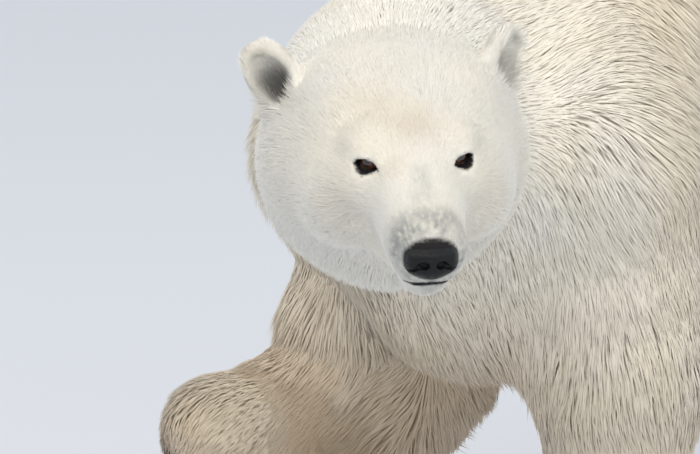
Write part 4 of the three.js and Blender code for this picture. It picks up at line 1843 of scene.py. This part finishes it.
def blended(tree: bpy.types.NodeTree, share: bpy.types.NodeSocket, low: bpy.types.NodeSocket | str,
            high: bpy.types.NodeSocket | str) -> bpy.types.NodeSocket:
    """Two colours, each a socket or a hex value, mixed by a share.

    Args:
        tree: The material's nodes.
        share: The socket with the share, from 0 to 1.
        low: The colour where the share is 0.
        high: The colour where the share is 1.

    Returns:
        The socket with the mixed colour.
    """
    mixed = add(tree, "ShaderNodeMix", data_type="RGBA")
    tree.links.new(share, mixed.inputs[0])
    for slot, value in ((6, low), (7, high)):
        if isinstance(value, str):
            mixed.inputs[slot].default_value = (*linear(value), 1.0)
        else:
            tree.links.new(value, mixed.inputs[slot])
    return mixed.outputs[2]


@dataclass(frozen=True)
class GuardHair(Finish):
    """Polar bear guard hair: hollow clear keratin over dense wool, grown in locks.

    Light soaks into it and comes out again, so it looks soft and milky with hardly any gloss.
    """

    name: str = "guard_hair"
    roughness: float = 0.62
    ior: float = 1.55
    specular: float = 0.3
    strand: float = 1.2  # a hair is 0.1 mm thick, too fine to show: drawn as streaks ten times as coarse

    def colour(self, tree: bpy.types.NodeTree) -> bpy.types.NodeSocket:
        """The coat's markings, with faint streaks from hair to hair."""
        coat = add(tree, "ShaderNodeAttribute", attribute_name="coat_colour").outputs["Color"]
        return toned(tree, coat, blotches(tree, self.strand * 3), 0.94, 1.05)

    def special(self, shader: bpy.types.Node) -> None:
        """The bloom of the fine hair ends."""
        shader.inputs["Sheen Weight"].default_value = 0.12
        shader.inputs["Sheen Roughness"].default_value = 0.5


@dataclass(frozen=True)
class WoollyHide(Finish):
    """Hide under dense underwool, bare and black at the lids and lips.

    The wool is matt and paler than shadow; the bare edges are black skin with a faint damp gloss.
    """

    name: str = "woolly_hide"
    roughness: float = 0.8
    ior: float = 1.45
    specular: float = 0.3
    wool: float = 2.0  # width of a tuft of underwool in millimetres

    def colour(self, tree: bpy.types.NodeTree) -> bpy.types.NodeSocket:
        """The coat's markings, turning to black skin at the lids and lips.

        Args:
            tree: The material's nodes.

        Returns:
            The socket with the colour.
        """
        coat = add(tree, "ShaderNodeAttribute", attribute_name="coat_colour").outputs["Color"]
        wool = toned(tree, coat, blotches(tree, self.wool), 0.85, 1.05)
        bare = add(tree, "ShaderNodeAttribute", attribute_name="bare").outputs["Fac"]
        return blended(tree, bare, wool, "#1D1A1B")

    def relief(self, tree: bpy.types.NodeTree) -> tuple[bpy.types.NodeSocket, float]:
        """Tufts of wool."""
        return blotches(tree, self.wool), 0.0012


@dataclass(frozen=True)
class NoseLeather(Finish):
    """The nose pad: black hairless skin in pebbles about 1.5 mm across, damp, with a satin shine."""

    name: str = "nose_leather"
    roughness: float = 0.42
    ior: float = 1.45
    specular: float = 0.3
    pebble: float = 1.6

    def colour(self, tree: bpy.types.NodeTree) -> bpy.types.NodeSocket:
        """Black, lighter grey on the upper side and towards the sides: partly dust between the pebbles,
        partly a painted highlight where the sky is reflected on top.
        """
        dust_and_highlight = add(tree, "ShaderNodeAttribute", attribute_name="dust_and_highlight").outputs["Fac"]
        return toned(tree, blended(tree, dust_and_highlight, "#0C0D10", "#1F2226"), blotches(tree, 6.0), 0.8, 1.2)

    def relief(self, tree: bpy.types.NodeTree) -> tuple[bpy.types.NodeSocket, float]:
        """Rounded pebbles."""
        return pebbles(tree, self.pebble), -0.0005


@dataclass(frozen=True)
class WetEye(Finish):
    """The eyeball under its film of tears: dark brown iris, glossy as polished glass."""

    name: str = "wet_eye"
    roughness: float = 0.12
    ior: float = 1.376
    specular: float = 0.5

    def colour(self, tree: bpy.types.NodeTree) -> bpy.types.NodeSocket:
        """Pupil, iris and the dark rim round it, with fine fibres in the iris."""
        iris = add(tree, "ShaderNodeAttribute", attribute_name="eye_colour").outputs["Color"]
        return toned(tree, iris, blotches(tree, 1.2, 4.0), 0.75, 1.25)

    def special(self, shader: bpy.types.Node) -> None:
        """The film of tears."""
        shader.inputs["Coat Weight"].default_value = 1.0
        shader.inputs["Coat Roughness"].default_value = 0.03


@dataclass(frozen=True)
class ClawHorn(Finish):
    """Claw horn: dark keratin grown in long layers, worn smooth, with a satin shine."""

    name: str = "claw_horn"
    roughness: float = 0.34
    ior: float = 1.54
    specular: float = 0.5

    def colour(self, tree: bpy.types.NodeTree) -> bpy.types.NodeSocket:
        """Black-brown at the root, paler and scratched towards the tip."""
        along = add(tree, "ShaderNodeAttribute", attribute_name="claw_along").outputs["Fac"]
        return toned(tree, blended(tree, along, "#241E1A", "#5A4A3B"), blotches(tree, 2.5, 4.0), 0.75, 1.2)

    def relief(self, tree: bpy.types.NodeTree) -> tuple[bpy.types.NodeSocket, float]:
        """Fine ridges and scratches."""
        return blotches(tree, 1.0, 4.0), 0.0002


@dataclass(frozen=True)
class PadLeather(Finish):
    """The pads of the feet: thick dark skin covered with papillae about 1 mm across, dry and dull."""

    name: str = "pad_leather"
    roughness: float = 0.7
    ior: float = 1.45
    specular: float = 0.35
    papilla: float = 1.5

    def colour(self, tree: bpy.types.NodeTree) -> bpy.types.NodeSocket:
        """Dark grey-brown, dusty where it wears."""
        return blended(tree, blotches(tree, 9.0), "#2B2724", "#4D463F")

    def relief(self, tree: bpy.types.NodeTree) -> tuple[bpy.types.NodeSocket, float]:
        """Close-set bumps."""
        return pebbles(tree, self.papilla), -0.0006


# ------------------------ eyes, nose, claws and pads


@dataclass
class Eye:
    """One eyeball with a bulging cornea, set behind its lids.

    `gaze` turns its line of sight outwards, in degrees, and `gap` is the room left under the lids.
    The cornea stands out by `bulge`, over `bulge_angle` radians.
    """

    head: Head
    side: int
    gaze: float = 31.0
    gap: float = 0.15
    bulge: float = 0.9
    bulge_angle: float = 0.42
    pupil: float = 3.0
    iris: float = 11.0
    around: int = 40
    rings: int = 28

    def build(self, shift: Array) -> bpy.types.Object:
        """Builds the ball by turning its profile about the line of sight.

        Args:
            shift: From the body's frame to the model's frame, in millimetres.

        Returns:
            The piece, in place of its plain solid.
        """
        lids = self.head.eye_place(self.side)
        place = Place(lids.origin, self.head.place().turn @ turned("z", self.side * self.gaze))
        angles = np.linspace(0.0, math.pi, self.rings + 1)[1:-1]
        turns = np.linspace(0.0, 2 * math.pi, self.around, endpoint=False)
        ball = self.head.eye_radius - self.gap
        radii = ball + self.bulge * np.exp(-((angles / self.bulge_angle) ** 2))
        corners = np.stack([
            np.outer(np.sin(angles) * radii, np.cos(turns)),
            np.outer(-np.cos(angles) * radii, np.ones(self.around)),
            np.outer(np.sin(angles) * radii, np.sin(turns))], axis=-1).reshape(-1, 3)
        corners = np.vstack([corners, [[0.0, -(ball + self.bulge), 0.0]], [[0.0, ball, 0.0]]])
        last = len(corners) - 2
        faces = tube_faces(len(angles), self.around)
        base = (len(angles) - 1) * self.around
        for step in range(self.around):
            after = (step + 1) % self.around
            faces += [(last, after, step), (last + 1, base + step, base + after)]
        name = "eye_left" if self.side > 0 else "eye_right"
        piece = mesh_of(f"{name}_ball", place.out(corners), np.array(faces)[:, ::-1], shift)
        paint(piece, "eye_colour", self._colours(corners))
        piece.data.materials.append(WetEye().material())
        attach(piece, BODY)
        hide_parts(name)
        return piece

    def _colours(self, corners: Array) -> Array:
        """Pupil, iris and rim by the distance from the line of sight.

        Args:
            corners: Corners of the ball in its own frame.

        Returns:
            A linear colour for each corner.
        """
        off = np.where(corners[:, 1] < 0, np.hypot(corners[:, 0], corners[:, 2]), 99.0)
        shades = [(0.0, "#070606"), (self.pupil, "#0A0808"), (self.pupil + 0.8, "#4A2C24"),
                  (self.iris - 3.0, "#593A2F"), (self.iris, "#2A1713"), (self.iris + 1.4, "#120C0B")]
        places = [place for place, _ in shades]
        bands = np.array([linear(shade) for _, shade in shades])
        return np.column_stack([np.interp(off, places, bands[:, part]) for part in range(3)])


@dataclass
class Nose:
    """The nose pad: a broad upper rim, two comma-shaped nostrils and a groove down the middle."""

    head: Head
    cell: float = 1.25

    def form(self) -> Form:
        """The pad in the head's frame.

        Returns:
            The form.
        """
        pad = Melted(9, (
            Ball((0, -141, -60), (29, 18, 12), 12),
            Ball((0, -143, -74), (20, 17, 17)),
            BothSides(Ball((19, -139, -71), (12, 17, 14)))))
        rim = BothSides(Limb((3, -158, -59), (23, -150, -61), 3.4, 3.0))
        nostril = BothSides(Melted(3, (
            Ball((10.5, -161, -70), (6.6, 11, 5.4)),
            Limb((14, -158, -71), (27, -149, -77), 3.2, 1.6))))
        groove = Thread(((0, -166, -66), (0, -162, -78), (0, -152, -92)), (0.9, 1.4, 1.6))
        return Hollowed(2.0, Melted(5, (pad, rim)), (nostril, groove))

    def build(self, shift: Array) -> bpy.types.Object:
        """Meshes the pad and paints its upper side and sides lighter grey: partly dust, partly a painted
        highlight.

        Args:
            shift: From the body's frame to the model's frame, in millimetres.

        Returns:
            The piece, in place of its plain solid.
        """
        low, high = np.array((-36.0, -172.0, -98.0)), np.array((36.0, -116.0, -36.0))
        lines = tuple(np.arange(low[axis], high[axis], self.cell) for axis in range(3))
        points, faces = surface(self.form(), lines)
        points = settled(self.form(), points, 2, 0.3, 1.0)
        piece = mesh_of("nose_pad", self.head.place().out(points), faces, shift)
        # lighter grey on the upper side and towards the sides: dust, and a painted highlight for the sky's
        # reflection on top
        upper = smooth(points[:, 2], -60, -44) * (0.4 + 0.8 * mottle(points, 6.0, 31))
        rim = smooth(np.abs(points[:, 0]), 20, 30) * mottle(points, 4.0, 32)
        paint(piece, "dust_and_highlight", np.clip(0.75 * upper + 0.5 * rim, 0, 1))
        piece.data.materials.append(NoseLeather().material())
        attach(piece, BODY)
        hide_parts("nose")
        return piece


@dataclass
class Claws:
    """The five claws of one foot, curled horn cones with a keeled upper side."""

    leg: Leg
    radius: float = 7.5
    tip: float = 0.9
    curl: float = 52.0
    root: float = 14.0
    around: int = 16
    rings: int = 14

    def build(self, finish: bpy.types.Material, shift: Array) -> list[bpy.types.Object]:
        """Builds each claw in place of its plain solid.

        Args:
            finish: The horn's material.
            shift: From the body's frame to the model's frame, in millimetres.

        Returns:
            The five claws.
        """
        pieces = []
        toe_radius, length = self.leg.toe_sizes[3:]
        for index, (_, tip) in enumerate(self.leg.toes()):
            start = tip + np.array([0.0, -toe_radius * 0.55, toe_radius * 0.35])
            corners, along = self._horn(length)
            name = f"{self.leg.name}_claw_{index + 1}"
            piece = mesh_of(f"{name}_horn", self.leg.foot_place().out(corners + start), self._faces(), shift)
            paint(piece, "claw_along", along)
            piece.data.materials.append(finish)
            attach(piece, BODY)
            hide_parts(name)
            pieces.append(piece)
        return pieces

    def _horn(self, length: float) -> tuple[Array, Array]:
        """Corners of one claw, ring by ring, and how far along each lies from 0 to 1.

        Args:
            length: The claw's length along its curve.

        Returns:
            The corners, and their places along the claw.
        """
        arc = math.radians(self.curl)
        bend = length / arc
        corners, along = [], []
        for share in np.linspace(-self.root / length, 1.0, self.rings):
            angle = arc * share
            thick = self.radius + (self.tip - self.radius) * max(share, 0.0) ** 1.25
            centre = np.array([0.0, -math.sin(angle) * bend, (math.cos(angle) - 1.0) * bend])
            outward = np.array([0.0, -math.sin(angle), math.cos(angle)])
            for turn in np.linspace(0.0, 2 * math.pi, self.around, endpoint=False):
                keel = 1.0 + 0.12 * max(math.sin(turn), 0.0) ** 3
                side = np.array([math.cos(turn) * thick * 0.78, 0.0, 0.0])
                corners.append(centre + side + outward * math.sin(turn) * thick * keel)
                along.append(max(share, 0.0))
        return np.array(corners), np.array(along)

    def _faces(self) -> Array:
        """Corner numbers of the sides and both ends, as triangles.

        Returns:
            Three corner numbers for each triangle.
        """
        faces = tube_faces(self.rings, self.around)
        last = (self.rings - 1) * self.around
        for step in range(1, self.around - 1):
            faces += [(0, step + 1, step), (last, last + step, last + step + 1)]
        return np.array(faces)


@dataclass
class Pads:
    """The bare pads under one foot: one under each toe and a broad one behind them.

    A ball of radius `flat_radius`, which is as good as flat, presses the pads that stand level with
    the floor.
    """

    leg: Leg
    cell: float = 3.0
    flat_radius: float = 5000.0

    def form(self) -> Form:
        """The pads in the foot's frame.

        Returns:
            The form.
        """
        toe_radius = self.leg.toe_sizes[3]
        under = -self.leg.depth + self.leg.sole_hair
        toes = tuple(Ball((tip[0], tip[1] + 4.0, under + 5.0), (toe_radius * 0.46, toe_radius * 0.62, 7.5))
                     for _, tip in self.leg.toes())
        if self.leg.fore:
            broad = (Ball((0, -74, under + 6.0), (58, 27, 9)),)
        else:
            broad = (Ball((0, -92, under + 6.0), (48, 25, 9)),
                     Limb((0, -70, under + 8.0), (0, 0, under + 8.0), 12, 14, (1.9, 1, 0.7)))
        return Melted(1, (*toes, *broad))

    def build(self, finish: bpy.types.Material, shift: Array) -> bpy.types.Object:
        """Meshes the pads of one foot; those that stand are flat where they press on the floor.

        Args:
            finish: The pads' material.
            shift: From the body's frame to the model's frame, in millimetres.

        Returns:
            The piece.
        """
        place = self.leg.foot_place()
        form: Form = self.form()
        reach = self.leg.toe_sizes[1] + 45.0
        under = -self.leg.depth
        lines = (np.arange(-115.0, 116.0, self.cell), np.arange(-reach, 60.0, self.cell),
                 np.arange(under - 2.0, under + 30.0, self.cell))
        if not self.leg.pitch:
            level = under + self.leg.sole_hair + 0.4 - self.flat_radius
            form = Hollowed(1.5, form, (Ball((0, -60, level), (self.flat_radius,) * 3),))
        points, faces = surface(form, lines)
        piece = mesh_of(f"{self.leg.name}_pads", place.out(settled(form, points, 2, 0.5, 1.5)), faces, shift)
        piece.data.materials.append(finish)
        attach(piece, BODY)
        return piece


# ------------------------ stage


@dataclass(frozen=True)
class Studio:
    """A plain pale floor, soft light from all round with a broad lamp above, and the camera."""

    target: Point = (0.2402, -0.8898, 0.7279)
    azimuth: float = 45.0
    elevation: float = 11.0
    distance: float = 6.5
    lens: float = 290.7
    floor_size: float = 60.0
    above_watts: float = 155.0
    left_watts: float = 45.0
    sky_strength: float = 0.94

    def build(self) -> None:
        """Sets the floor, the lights, the sky and the camera."""
        self._floor()
        self._lamp("lamp_above", (1.5, -3.2, 5.2), (0.1, -0.5, 0.6), 4.5, self.above_watts, "#FFF9EF")
        self._lamp("lamp_left", (5.0, -1.0, 2.6), (0.1, -0.6, 0.7), 3.0, self.left_watts, "#FFFBF4")
        world = bpy.data.worlds.new("sky")
        world.use_nodes = True
        background = world.node_tree.nodes["Background"]
        background.inputs["Color"].default_value = (*linear("#F1F3F6"), 1.0)
        background.inputs["Strength"].default_value = self.sky_strength
        bpy.context.scene.world = world
        self._camera()

    def _floor(self) -> None:
        """A wide flat floor, matt and pale."""
        half = self.floor_size / 2 / MM
        corners = np.array([(-half, -half, 0.0), (half, -half, 0.0), (half, half, 0.0), (-half, half, 0.0)])
        floor = mesh_of("floor", corners, np.array([[0, 1, 2, 3]]))
        material = bpy.data.materials.new("matt_pale_floor")
        material.use_nodes = True
        shader = material.node_tree.nodes["Principled BSDF"]
        shader.inputs["Base Color"].default_value = (*linear("#DADEE4"), 1.0)
        shader.inputs["Roughness"].default_value = 0.9
        floor.data.materials.append(material)
        floor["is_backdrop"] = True

    def _lamp(self, name: str, at: Point, towards: Point, size: float, watts: float, colour: str) -> None:
        """One square lamp that looks at a point.

        Args:
            name: The lamp's name.
            at: Where it hangs, in metres.
            towards: The point it looks at.
            size: Length of its side in metres.
            watts: Its power.
            colour: The hex value of its light.
        """
        light = bpy.data.lights.new(name, "AREA")
        light.size, light.energy, light.color = size, watts, linear(colour)
        lamp = bpy.data.objects.new(name, light)
        lamp.location = at
        lamp.rotation_euler = (Vector(towards) - Vector(at)).to_track_quat("-Z", "Y").to_euler()
        bpy.context.scene.collection.objects.link(lamp)

    def _camera(self) -> None:
        """The camera, level and without depth of field."""
        turn, rise = math.radians(self.azimuth), math.radians(self.elevation)
        back = Vector((math.sin(turn) * math.cos(rise), -math.cos(turn) * math.cos(rise), math.sin(rise)))
        view = bpy.data.cameras.new("view")
        view.lens, view.sensor_width, view.sensor_fit = self.lens, 36.0, "HORIZONTAL"
        view.clip_end = 200.0
        camera = bpy.data.objects.new("view", view)
        camera.location = Vector(self.target) + back * self.distance
        camera.rotation_euler = (-back).to_track_quat("-Z", "Y").to_euler()
        bpy.context.scene.collection.objects.link(camera)
        bpy.context.scene.camera = camera


# ------------------------ the whole


def main() -> None:
    """Builds the bear piece by piece, then the studio round it."""
    logging.basicConfig(level=logging.INFO, format="%(message)s")
    cad_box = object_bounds()
    bpy.context.scene.view_settings.view_transform = "Standard"
    skin = Skin()
    head = skin.head
    corners = [corner for name in ("eye_left", "eye_right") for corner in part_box(name)]
    eyes = np.array(corners).mean(axis=0)
    shift = eyes / MM - skin.head_place.out(np.array([0.0, head.eye_deep, 0.0]))
    markings = Markings(skin.head_place, tuple(ear.place(skin.head_place) for ear in EARS))
    points, faces = skin.build()
    hide = skin.piece(points, faces, shift, markings)
    LOG.info("%s: %d faces", hide.name, len(hide.data.polygons))
    coat = Coat(skin, markings, points, faces, shift)
    hair = GuardHair().material()
    for pelt in PELTS:
        coat.grow(pelt).data.materials.append(hair)
    for side in (1, -1):
        LOG.info("%s", Eye(head, side).build(shift).name)
    LOG.info("%s", Nose(head).build(shift).name)
    horn, leather = ClawHorn().material(), PadLeather().material()
    for leg in LEGS:
        LOG.info("%s: %d claws", leg.name, len(Claws(leg).build(horn, shift)))
        LOG.info("%s", Pads(leg).build(leather, shift).name)
    Studio().build()
    boxes = [[list(corner) for corner in box] for box in (cad_box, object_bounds())]


if __name__ == "__main__":
    main()
